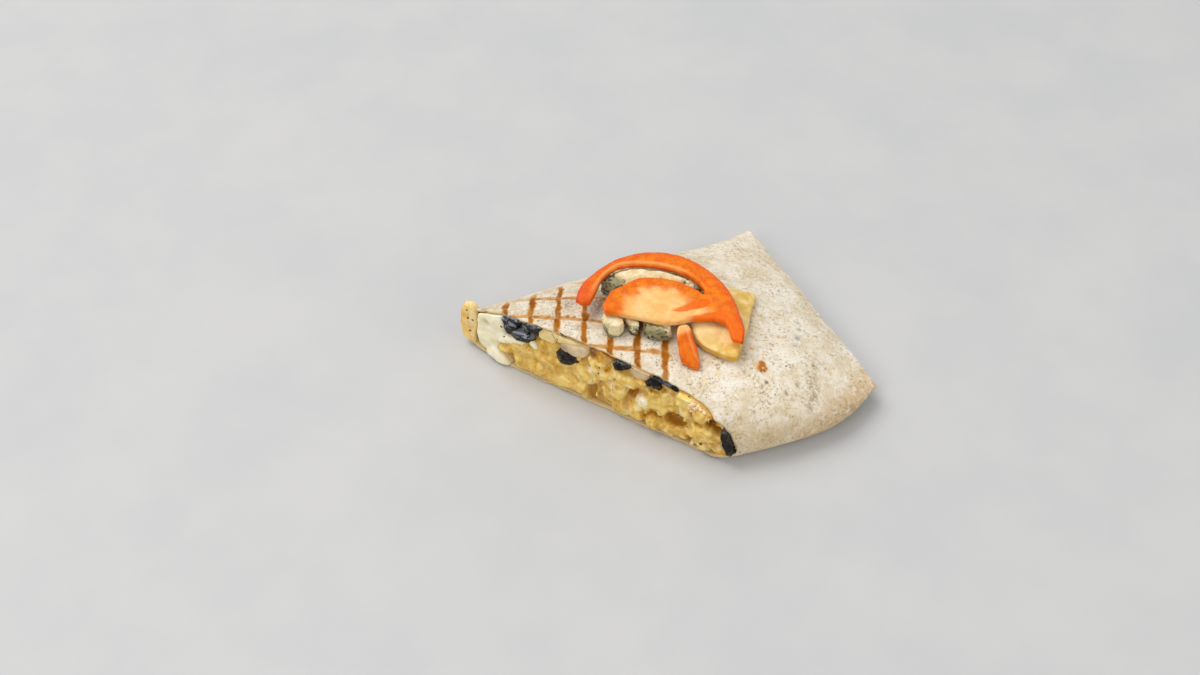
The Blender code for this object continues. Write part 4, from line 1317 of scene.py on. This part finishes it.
# %% Pepper flakes
# Run and height as seen, half width, half height, turn
FLAKES = np.array([
    (-58.7, 14.8, 0.45, 0.8, 30), (-58.9, 19.3, 0.4, 0.5, 0), (-41.2, 20.8, 0.7, 0.3, 40),
    (-39.9, 15.8, 0.55, 0.35, 0), (-36.8, 8.1, 0.7, 0.3, 40), (3.3, 18.8, 0.4, 0.4, 0),
    (3.8, 22.2, 0.5, 0.3, 60), (42.5, 11.2, 0.3, 0.3, 0), (48.6, 4.5, 0.7, 0.6, 10),
    (42.3, 28.2, 0.9, 0.25, -40), (-13.0, 31.8, 1.2, 0.5, 25), (-11.2, 31.4, 0.9, 0.4, 25),
])
FLAKE_PROUD, FLAKE_DEEP = 0.2, 0.25
graph = bpy.context.evaluated_depsgraph_get()
surfaces = [BVHTree.FromObject(thing, graph) for thing in (mass, cream, folds, chicken, tortilla)]


def first_hit(run, height):
    """The place where a line from the eye through a point of the cut meets the first ingredient."""
    eye, aim = (EYE - CENTRE) * MM, (face_point(np.array(run), np.array(height)) - CENTRE) * MM
    hits = [surface.ray_cast(Vector(eye), Vector(aim - eye).normalized()) for surface in surfaces]
    place, _, _, _ = min((hit for hit in hits if hit[0]), key=lambda hit: hit[3])
    return np.array(place) / MM + CENTRE


run, height, out = face_place(np.array([first_hit(*flake[:2]) for flake in FLAKES]))
rows_of_flakes = np.stack([run, height, *FLAKES[:, 2:].T, out + FLAKE_PROUD], axis=1)
bpy.ops.mesh.primitive_ico_sphere_add(subdivisions=2, radius=1.0)
bead = bpy.context.object
flakes = scattered("pepper_flakes", rows_of_flakes, np.full(len(FLAKES), FLAKE_DEEP), bead, 0.4)
finish, tree, shader, place = new_finish("pepper", 0.5)
shade = group(tree, patches, place, size=0.8, start=0.4, stop=0.6)
tree.links.new(mixed(tree, shade, (50, 32, 18), (104, 66, 34)), shader.inputs["Base Color"])
hand_over(flakes, finish, "fries")

# %% [markdown]
# ## Black olives
#
# Sliced black olives are rings, and the knife has cut and torn them into curved pieces. Black,
# shiny skin covers the outside, and flat cuts show brown-grey flesh. Each piece starts as a lump
# from its outline in the cut face. A few straight planes then shave it, as a knife does, and
# noise dents what is left. Points that a plane has touched are painted as cut flesh.

# %% Olive material
olive_finish, tree, shader, place = new_finish("black olive", 0.22, coat=0.1, gleam=0.18)
cloudy = group(tree, patches, place, size=1.2, start=0.42, stop=0.62, detail=5.0)
hazy = group(tree, patches, place, size=1.5, start=0.38, stop=0.48, detail=2.0)
flesh = mixed(tree, cloudy, (18, 12, 6), (72, 54, 34))
flesh_share = times(tree, attribute(tree, "cut"), maths(tree, "MULTIPLY_ADD", cloudy, 0.6, 0.4))
colour = mixed(tree, flesh_share, (6, 4, 3), flesh)
# Painted highlight: a grey-blue sheen on skin that faces up, which also carries the coat
colour = tint(tree, colour, (150, 155, 164), attribute(tree, "painted_sheen"), hazy, 0.85)
colour = tint(tree, colour, (150, 138, 108), attribute(tree, "lip"), 0.8)
tree.links.new(colour, shader.inputs["Base Color"])
tree.links.new(fade(tree, cloudy, 0.0, 1.0, 0.08, 0.22), shader.inputs["Roughness"])
tree.links.new(fade(tree, attribute(tree, "painted_sheen"), 0.0, 1.0, 0.03, 0.9), shader.inputs["Coat Weight"])
raise_surface(tree, shader, noise_at(tree, place, 1.3, 4.0, roughness=0.6), 0.0004)

# %% Olive outlines
# For each piece: outlines as seen, each with how far its face stands out
OLIVES = {
    1: [([(-39.9, 29.1), (-38.5, 30.4), (-35.7, 30.2), (-33.1, 28.9), (-31.1, 27.4), (-31.4, 25.7),
          (-33.4, 24.9), (-35.4, 26.0), (-37.6, 25.4), (-39.6, 26.0)], 1.7),
        ([(-39.9, 26.6), (-37.4, 26.0), (-34.6, 25.6), (-34.2, 22.8), (-35.7, 22), (-36.3, 20.6),
          (-37.4, 17.8), (-38.8, 18.1), (-39.7, 20.6), (-40.0, 24.0)], 1.1)],
    2: [([(-31.1, 28.9), (-27.7, 30), (-24.3, 30.9), (-21.8, 31.7), (-22.3, 30), (-23.5, 28),
          (-24.3, 24.9), (-24.9, 23.2), (-25.5, 24.6), (-27.2, 24.9), (-29.4, 23.8), (-31.1, 24.6),
          (-31.4, 26.9)], 1.1)],
    3: [([(-36, 20.6), (-34, 22.3), (-30.6, 22.6), (-27.7, 22.6), (-26.6, 20.9), (-27.7, 18.4),
          (-30, 17.2), (-32.8, 17.2), (-35.7, 16.8), (-36.8, 18.1)], 1.8)],
    4: [([(-15.5, 22.4), (-14.1, 22.3), (-12.1, 23), (-10.5, 23.2), (-8.7, 22.4), (-6.9, 21.5),
          (-5.8, 20.5), (-6.3, 19.4), (-7.6, 18.1), (-9, 16.7), (-10.5, 15.4), (-12.3, 15),
          (-14.1, 15.2), (-15.4, 15.9), (-15.9, 17.4), (-16.1, 19.2), (-15.9, 21)], 1.1)],
    5: [([(9.6, 27.7), (10.5, 29.1), (12.3, 30.4), (14.1, 31.3), (16.4, 32.0), (16.6, 30), (16.1, 28.6),
          (15.9, 27.3), (14.1, 26.6), (12.3, 25.3), (10.5, 24.4), (9.6, 25.2), (9.7, 26.4)], 1.2),
        ([(15.0, 31.4), (17.3, 32.6), (19.6, 33.6), (18.6, 31.8), (16.4, 30.4)], 0.5)],
    6: [([(26.3, 32.8), (29.7, 32.5), (29.7, 27.2), (29.4, 22.3), (27.2, 22.6), (26.6, 24.2),
          (26.6, 27.2)], 1.4),
        ([(26.8, 27.4), (27.0, 24.4), (24.8, 24.2), (23.2, 22.6), (23.2, 24.8), (24.8, 26.3)], 1.1)],
    7: [([(29.6, 32.6), (34.0, 31.8), (38.6, 30.4), (38.0, 29.2), (35.2, 28.7), (29.6, 28.3)], 0.2)],
    8: [([(58, 18.9), (59.8, 17.4), (62.3, 15.5), (63.8, 13.1), (64.5, 11.2), (63.2, 8.8), (62, 5.7),
          (60.8, 4.8), (59.2, 6.6), (58, 9.4), (57.4, 12.5), (57.4, 16.2)], 1.5)],
}
# How much painted grey-blue sheen, a painted highlight, each piece shows on skin that faces up
PAINTED_SHEEN = {1: 1.0, 2: 1.0, 3: 1.0, 4: 0.06, 5: 0.45, 6: 0.1, 7: 0.35, 8: 0.3}
print("olive pieces:", len(OLIVES))

# %% Olive pieces
KNIFE_CUTS = 7
OLIVE_BODY = 5.0             # how far a piece goes in behind its face
CUT_ALL_OVER = 4             # this piece shows flesh on its whole face
PALE_LIPS = (4, 8)           # on these the lower edge is a pale cut
LEFT_GROUP = (1, 2, 3)       # they catch more light on their upper sides
GROWN, CORNER_GROWN = 1.12, {8: 1.25}    # an outline shrinks when it is kneaded, so it starts larger


def olive_piece(number, parts):
    """One olive piece from its outlines, shaved by knife planes and dented."""
    draw = np.random.default_rng(40 + number)
    lumps = []
    for line, front in parts:
        outline = as_seen(line, front)
        middle = outline.mean(axis=0)
        outline = middle + (outline - middle) * CORNER_GROWN.get(number, GROWN)
        lumps.append(cut_end(outline, front, front - OLIVE_BODY, 0.8, rounds=1))
    piece = joined(f"olive_slice_{number}", lumps)
    knead(piece, 0.26, 2)
    spots, normal = spots_of(piece), normals_of(piece)
    spots += normal * relief(spots, (0.60, 2.6, 80.0 + number), (0.14, 1.1, 81.0))[:, None]
    middle, shaved = spots.mean(axis=0), np.zeros(len(spots))
    for _ in range(KNIFE_CUTS):
        across, up = draw.uniform(-0.8, 0.8, 2)
        plane = CUT_OUT + across * CUT_RUN + np.array([0, 0, up + 0.25])
        plane /= np.linalg.norm(plane)
        reach = (spots - middle) @ plane
        beyond = np.maximum(reach - draw.uniform(0.78, 0.95) * reach.max(), 0)
        spots -= beyond[:, None] * plane
        shaved = np.maximum(shaved, ramp(beyond, 0.0, 0.25) * (draw.random() < 0.6))
    _, height, out = face_place(spots)
    move(piece, under_sheet(spots, 0.25 - 2.0 * np.clip(out - 0.1, 0, 1)))
    paint(piece, "cut", np.maximum(shaved, 0.9 * (number == CUT_ALL_OVER)))
    facing_up = normals_of(piece)[:, 2] - (0.0 if number in LEFT_GROUP else 0.15)
    # Painted sheen: a highlight painted on the skin that faces up
    paint(piece, "painted_sheen", ramp(facing_up, 0.0, 0.45) * PAINTED_SHEEN[number])
    low = ramp(height - height.min(), 1.4, 0.8) * ramp(out - out.max(), -1.6, -0.8)
    paint(piece, "lip", low * (number in PALE_LIPS))
    return piece


for number, parts in OLIVES.items():
    piece = olive_piece(number, parts)
    hand_over(piece, olive_finish, "olive", f"olive_{number}")

# %% [markdown]
# ## Tomato
#
# Half a tomato slice lies on top. It has a firm wall under the skin, a slit where the wall has
# parted from the core, and a pale core with a red rim and two darker hollows where seeds sat.
# The CAD outline is kneaded to a fine skin, and every point gets its distance from the middle
# and its angle, from which the material mixes skin, flesh, rim and core.

# %% Tomato outline
TOMATO_CENTRE = np.array([-6.3, -2.9])
# Distances from the middle by angle: skin, inside of the wall, edge of the core
TOMATO_SKIN = [(-50, 34.6), (-36, 33.2), (-24, 31.5), (-10, 31.0), (2, 31.3), (20, 32.2), (35, 33.4),
               (50, 34.5), (65, 34.7), (85, 34.0), (105, 32.6), (127, 32.2), (142, 31.4)]
TOMATO_INSIDE = [(12, 23.2), (28, 24.8), (40, 25.5), (53, 26.0), (66, 26.8), (82, 28.4), (94, 29.2),
                 (107, 28.3), (119, 27.3), (139, 27.0)]
TOMATO_CORE = [(4, 20.6), (14, 20.8), (26, 19.9), (50, 19.6), (65, 19.2), (75, 20.0), (100, 19.8),
               (115, 20.2), (125, 21.0), (140, 20.8), (154, 20.2)]
TOMATO_LIFT, TOMATO_TILT = 38.2, 0.05        # underside at the middle, and its fall in x


def polar(points):
    """Distance and angle in degrees round the tomato's middle."""
    flat = points[:, :2] - TOMATO_CENTRE
    return np.hypot(flat[:, 0], flat[:, 1]), np.degrees(np.arctan2(flat[:, 1], flat[:, 0]))


def between(value, low, high, soft):
    """1 between two limits and 0 outside them, with soft ends."""
    return np.clip((value - low) / soft + 0.5, 0, 1) * np.clip((high - value) / soft + 0.5, 0, 1)


def along_line(across, *points):
    """A place along at each place across, on a line given by its points."""
    return np.interp(across, *zip(*points))


tomato = node_copy("tomato_slice", "tomato_half_slice")
knead(tomato, 0.40, 2)
spots, normal = spots_of(tomato), normals_of(tomato)
reach, angle = polar(spots)
edge, inside, core = (np.interp(angle, *zip(*line)) for line in (TOMATO_SKIN, TOMATO_INSIDE, TOMATO_CORE))
across, along = (spots[:, :2] - TOMATO_CENTRE).T
underside = TOMATO_LIFT - TOMATO_TILT * (spots[:, 0] - TOMATO_CENTRE[0])
top = spots[:, 2] > underside + 1.6
in_wall = reach > 23
print("tomato points:", len(spots))

# %% Tomato surface
ragged = 0.35 * uneven(spots, 2.0, 46.0)
# Two seed hollows: each lies between a lower and an upper line
first_low = along_line(across, (5.4, -1.6), (9.1, -3.4), (13.2, -4.0), (18.3, -4.4), (21.5, -3.4))
first_high = along_line(across, (5.4, -1.3), (9.7, -0.7), (14.3, -0.2), (21.5, -0.8))
second_high = along_line(across, (6.6, -8.3), (12.4, -7.9), (18.7, -8.5), (22.6, -8.7))
first = between(along + ragged, first_low, first_high, 0.8) * between(across, 5.4, 21.6, 1.4)
second = between(along + ragged, -99, second_high, 0.9) * between(across, 7.0, 24.5, 2.0)
spots += normal * relief(spots, (0.20, 5.0, 41.0), (0.09, 1.6, 42.0))[:, None]
spots[:, 2] -= np.where(top, 0.55 * first + 0.3 * second, 0)
spots[:, 2] -= np.where(top, 0.5 * ramp(reach - edge, -3.0, 0.0) ** 2, 0)
spots[:, 2] -= 1.8 * (ramp(angle, 108.0, 138.0) * in_wall) ** 2
# The wall's left end is broader than in the CAD model, and the core's edge is bumpy
broader = 0.32 * ramp(angle, 112.0, 128.0) * in_wall * (reach - (edge + inside) / 2) / reach
spots[:, :2] += broader[:, None] * (spots[:, :2] - TOMATO_CENTRE)
bumpy = 0.5 * uneven(spots, 2.4, 47.0) * between(reach, 17.5, 24.5, 2.0) * between(angle, 14, 150, 8) / reach
spots[:, :2] += bumpy[:, None] * (spots[:, :2] - TOMATO_CENTRE)
move(tomato, spots)

# %% Painted values of the tomato
wall_rim = ramp(reach - edge, -5.0, -0.5)
core_rim = ramp(reach - core, -2.6, 0.0) * (reach < inside - 1.5) * (angle > 8)
scallop = 0.5 * np.sin(np.radians(angle * 13)) + 2.0 * uneven(spots, 3.4, 43.0)
heart = np.clip((16.6 + scallop - reach) / 7.5, 0, 1)
vein_line = -4.0 - (across - 5) / 6
vein = between(along, vein_line - 2.0, vein_line + 2.0, 1.8) * between(across, 4, 40, 2)
vein *= ramp(across, 23.0, 12.0)
membrane = between(across, 15.5, 19.4, 1.5) * between(along, -22, -12, 3) * (reach < 27)
# Painted highlight along the top of the wall's inner edge
highlight_on_inner_edge = between(reach, inside + 0.1, inside + 1.3, 0.7) * between(angle, 38, 132, 14) * top
# Painted shade: the wall's left end and its inner side are darker orange
shade_on_left_end = 0.6 * ramp(angle, 112.0, 132.0) * in_wall
shade_on_inner_side = between(reach, inside - 1.5, inside + 1.0, 0.8) * (angle > 15) * (angle < 142) * ~top
paint(tomato, "skin", ramp(reach - edge, -1.0, -0.3))
paint(tomato, "rim", np.maximum(wall_rim, 0.7 * core_rim))
paint(tomato, "gel", np.maximum(first, second))
paint(tomato, "pale", np.max([heart, vein, 0.8 * membrane], axis=0) * (reach < 27))
paint(tomato, "painted_highlight", highlight_on_inner_edge)
paint(tomato, "deep", np.maximum(shade_on_left_end, shade_on_inner_side))
# Angle and distance also become texture coordinates, so that a pattern can run outwards
coordinates = tomato.data.uv_layers.new(name="round").data
loops = np.zeros(len(tomato.data.loops), int)
tomato.data.loops.foreach_get("vertex_index", loops)
round_and_out = np.stack([angle[loops] / 180, reach[loops] / 35], axis=1)
coordinates.foreach_set("uv", round_and_out.ravel().astype(np.float32))

# %% Tomato material
tomato_finish, tree, shader, place = new_finish("tomato flesh", 0.28, coat=0.12, softness=0.3,
                                                bleed=(1.0, 0.35, 0.1), gleam=0.22)
uv = add(tree, "ShaderNodeUVMap", uv_map="round").outputs[0]
spread = add(tree, "ShaderNodeMapping", {"Vector": uv, "Scale": (14.0, 2.4, 1.0)})
rays = noise_at(tree, spread.outputs[0], 1.0, 3.0, roughness=0.6)
cloudy = group(tree, patches, place, size=3.0, start=0.4, stop=0.62, detail=4.0)
creamy = group(tree, patches, place, size=5.0, start=0.35, stop=0.65)
flesh = mixed(tree, cloudy, (226, 104, 0), (240, 132, 12))
flesh = tint(tree, flesh, (234, 80, 6), attribute(tree, "rim"), 0.55)
# Painted highlight on the wall's inner edge and along the strip
flesh = tint(tree, flesh, (252, 180, 104), attribute(tree, "painted_highlight"), 0.6)
# Painted shade on the wall's left end and inner side, and a little all over the strip
flesh = tint(tree, flesh, (216, 78, 12), attribute(tree, "deep"), 0.8)
pale = maths(tree, "MULTIPLY_ADD", maths(tree, "SUBTRACT", rays, 0.5), 0.8, attribute(tree, "pale"))
heart = mixed(tree, creamy, (248, 184, 106), (252, 202, 134))
flesh = mixed(tree, fade(tree, pale, 0.05, 0.85), flesh, heart)
flesh = tint(tree, flesh, (240, 108, 8), attribute(tree, "gel"), 0.9)
flesh = tint(tree, flesh, (214, 60, 14), attribute(tree, "skin"))
tree.links.new(flesh, shader.inputs["Base Color"])
grain = noise_at(tree, place, 1.3, 4.0, roughness=0.6)
tree.links.new(fade(tree, grain, 0.35, 0.7, 0.22, 0.42), shader.inputs["Roughness"])
raise_surface(tree, shader, grain, 0.0004)
hand_over(tomato, tomato_finish, "tomato", "tomato_slice")

# %% Tomato strip
SKIN_FRONT, SKIN_BACK = (-25.5, -1.2), (-15.5, 0.3)   # two places (y, x) on the line where the skin begins
strip = node_copy("tomato_strip", "tomato_edge_strip")
knead(strip, 0.35, 4)
spots, normal = spots_of(strip), normals_of(strip)
spots += normal * relief(spots, (0.3, 4.0, 44.0), (0.08, 1.4, 45.0))[:, None]
move(strip, spots)
side = spots[:, 0] - along_line(spots[:, 1], SKIN_FRONT, SKIN_BACK)
# Its near end is shorter and pointed, and its far end broader, than in the CAD model
spots[:, 1] += 0.3 * np.clip(-23 - spots[:, 1], 0, None)
spots[:, 0] += (spots[:, 0] + 1.0) * 0.25 * ramp(spots[:, 1], -18.0, -14.0)
foot = ramp(spots[:, 1], -22.5, -27.0)
spots[:, 0] += (spots[:, 0].max() - 0.6 - spots[:, 0]) * 0.42 * foot
move(strip, spots)
STRIP_VALUES = {
    "rim": np.clip(side / 0.8, 0, 1),
    # Painted highlight: a thin light line beside the skin
    "painted_highlight": np.clip(1 - np.abs(side + 0.3) / 0.7, 0, 1),
    "pale": ramp(spots[:, 1], -17.0, -14.0) * 0.95 - 0.25,
    "skin": np.zeros(len(spots)),
    "gel": np.zeros(len(spots)),
    "deep": np.full(len(spots), 0.3),
}
for name, values in STRIP_VALUES.items():
    paint(strip, name, values)
strip.data.uv_layers.new(name="round")
hand_over(strip, tomato_finish, "tomato", "tomato_strip")

# %% [markdown]
# ## Cheeses
#
# The blue cheese is crumbly and cream-coloured, with grey-green veins and spots of blue-black
# mould. The yellow slice is smooth and waxy, a little clear where it is thin. Both are the CAD
# pieces, kneaded fine. Noise crumbles the blue cheese and draws its veins, because mould grows
# in cracks that have no pattern.

# %% Blue cheese material
blue_finish, tree, shader, place = new_finish("blue cheese", 0.5, softness=0.12,
                                              bleed=(1.0, 0.85, 0.6), gleam=0.25)
cloudy = group(tree, patches, place, size=3.0, start=0.4, stop=0.6, detail=4.0)
spotted = group(tree, patches, place, size=1.5, start=0.50, stop=0.60, detail=3.0)
veined = noise_at(tree, place, 0.30, 5.0, roughness=0.6, distortion=0.8)
mouldy = attribute(tree, "mould")
vein = fade(tree, maths(tree, "MULTIPLY_ADD", mouldy, 0.34, veined), 0.56, 0.74)
dark = maths(tree, "MULTIPLY", spotted, fade(tree, maths(tree, "ADD", vein, mouldy), 0.4, 1.0))
curd = mixed(tree, cloudy, (234, 214, 160), (248, 238, 200))
curd = tint(tree, curd, (144, 138, 96), vein, 0.85)
curd = tint(tree, curd, (236, 180, 104), attribute(tree, "juice"), 0.6)
curd = tint(tree, curd, (48, 56, 58), dark, 0.9)
tree.links.new(curd, shader.inputs["Base Color"])
raise_surface(tree, shader, noise_at(tree, place, 1.8, 5.0, roughness=0.65), 0.0006)

# %% Blue cheese chunks
NEAR_TRIM = {1: 0.7, 2: 0.8, 3: 1.7}       # how much each chunk is cut back on the near side
PLAIN_MOULD = {1: 0.0, 2: 0.35}            # what the two small chunks have all over


def crumbled_piece(number, smoothing):
    """A piece of blue cheese from the CAD model, kneaded fine. Its near side is trimmed where told."""
    chunk = node_copy(f"blue_cheese_{number}", f"blue_cheese_chunk_{number}")
    knead(chunk, 0.38, smoothing)
    spots, normal = spots_of(chunk), normals_of(chunk)
    middle, nearest_y = spots[:, 1].mean(), spots[:, 1].min()
    near = np.clip((middle - spots[:, 1]) / (middle - nearest_y), 0, 1)
    spots[:, 1] += NEAR_TRIM.get(number, 0.0) * near
    spots += normal * relief(spots, (0.55, 3.2, 50.0 + number), (0.24, 1.2, 51.0))[:, None]
    return chunk, spots, normal


def finish_blue(chunk, number, spots, mould, juice):
    """Puts the points in place, paints mould and juice and hands the piece over."""
    move(chunk, spots)
    paint(chunk, "mould", mould)
    paint(chunk, "juice", juice)
    hand_over(chunk, blue_finish, "blue_cheese", f"blue_cheese_{number}")


def small_mould(number, spots):
    """Mould on a small chunk: at its right end, at its foot, and on the first at its left end too."""
    left, right = spots[:, 0] - spots[:, 0].min(), spots[:, 0].max() - spots[:, 0]
    mould = PLAIN_MOULD[number] + 0.9 * np.clip(1 - left / 1.4, 0, 1) * (number == 1)
    mould = (mould + 0.8 * np.clip(1 - right / 1.6, 0, 1)) * (0.4 + 0.6 * ramp(spots[:, 2], 38.0, 35.0))
    return mould + 0.9 * ramp(spots[:, 2] - spots[:, 2].min(), 2.6, 1.2)


def large_mould(spots):
    """Mould on the large chunk: low down, and not on its right side."""
    return 0.75 + 0.35 * ramp(spots[:, 2], 36.0, 33.0) - 0.9 * ramp(spots[:, 0], -6.5, -3.5)


for number in (1, 2, 3):
    chunk, spots, _ = crumbled_piece(number, 12)
    mould = large_mould(spots) if number == 3 else small_mould(number, spots)
    finish_blue(chunk, number, spots, mould, np.zeros(len(spots)))

# %% Blue cheese slab under the slit
SLAB = 4
SLAB_TRIM, TRIM_FROM = 0.5, 98      # the slab keeps this share of its angle beyond this angle
slab, spots, normal = crumbled_piece(SLAB, 4)
reach, angle = polar(spots)
swing = np.radians(np.maximum(angle - TRIM_FROM, 0) * SLAB_TRIM)
arm = spots[:, :2] - TOMATO_CENTRE
spots[:, 0] += arm[:, 0] * (np.cos(swing) - 1) + arm[:, 1] * np.sin(swing)
spots[:, 1] += arm[:, 1] * (np.cos(swing) - 1) - arm[:, 0] * np.sin(swing)
angle = angle - np.degrees(swing)
core, inside = np.interp(angle, *zip(*TOMATO_CORE)), np.interp(angle, *zip(*TOMATO_INSIDE))
in_slit = between(reach, core + 1.0, inside - 0.8, 1.4) * between(angle, 24, 124, 6)
spots[:, 2] += 1.5 * (normal[:, 2] > 0.3) * in_slit
mould = 1.1 * ramp(angle, 94.0, 106.0) + 0.3 * ramp(angle, 48.0, 28.0)
finish_blue(slab, SLAB, spots, mould, between(polar(spots)[0], 18, 22.5, 3.0) * between(angle, 30, 95, 20))

# %% Yellow cheese material
slice_finish, tree, shader, place = new_finish("yellow cheese", 0.34, coat=0.06, softness=0.3,
                                               bleed=(1.0, 0.75, 0.35), gleam=0.2)
cloudy = group(tree, patches, place, size=7.0, start=0.38, stop=0.62, detail=3.0)
wax = mixed(tree, cloudy, (218, 176, 82), (244, 214, 146))
wax = tint(tree, wax, (238, 212, 160), attribute(tree, "thin"), 0.4)
# Painted shade: the slice's sides, which do not face up, are darker
wax = tint(tree, wax, (208, 154, 40), fade(tree, attribute(tree, "edge"), 0.2, 0.9), 0.7)
tree.links.new(wax, shader.inputs["Base Color"])
raise_surface(tree, shader, noise_at(tree, place, 0.9, 3.0), 0.0002)

# %% Yellow cheese slice
CHEESE_CORNER = np.array([35.5, -2.2])     # its right corner reaches further than in the CAD model
CORNER_STRETCH, FAR_STRETCH = np.array([1.8, 0.6]), np.array([1.2, 1.7])
cheese = node_copy("cheese_slice", "yellow_cheese_slice")
knead(cheese, 0.42, 4)
spots, normal = spots_of(cheese), normals_of(cheese)
spots += normal * relief(spots, (0.3, 8.0, 61.0), (0.16, 2.4, 62.0))[:, None]
far = ramp(spots[:, 1], -14.0, -2.0)
from_corner = spots[:, :2] - CHEESE_CORNER
corner = np.exp(-(from_corner[:, 0] ** 2 + from_corner[:, 1] ** 2) / 14.0)
spots[:, :2] += far[:, None] * FAR_STRETCH + corner[:, None] * CORNER_STRETCH
move(cheese, spots)
# edge: painted shade on the surfaces that do not face up
paint(cheese, "edge", 1 - np.clip(normal[:, 2], 0, 1))
paint(cheese, "thin", between(spots[:, 1], -23.0, -10.0, 6.0))
hand_over(cheese, slice_finish, "cheese", "cheese_slice")
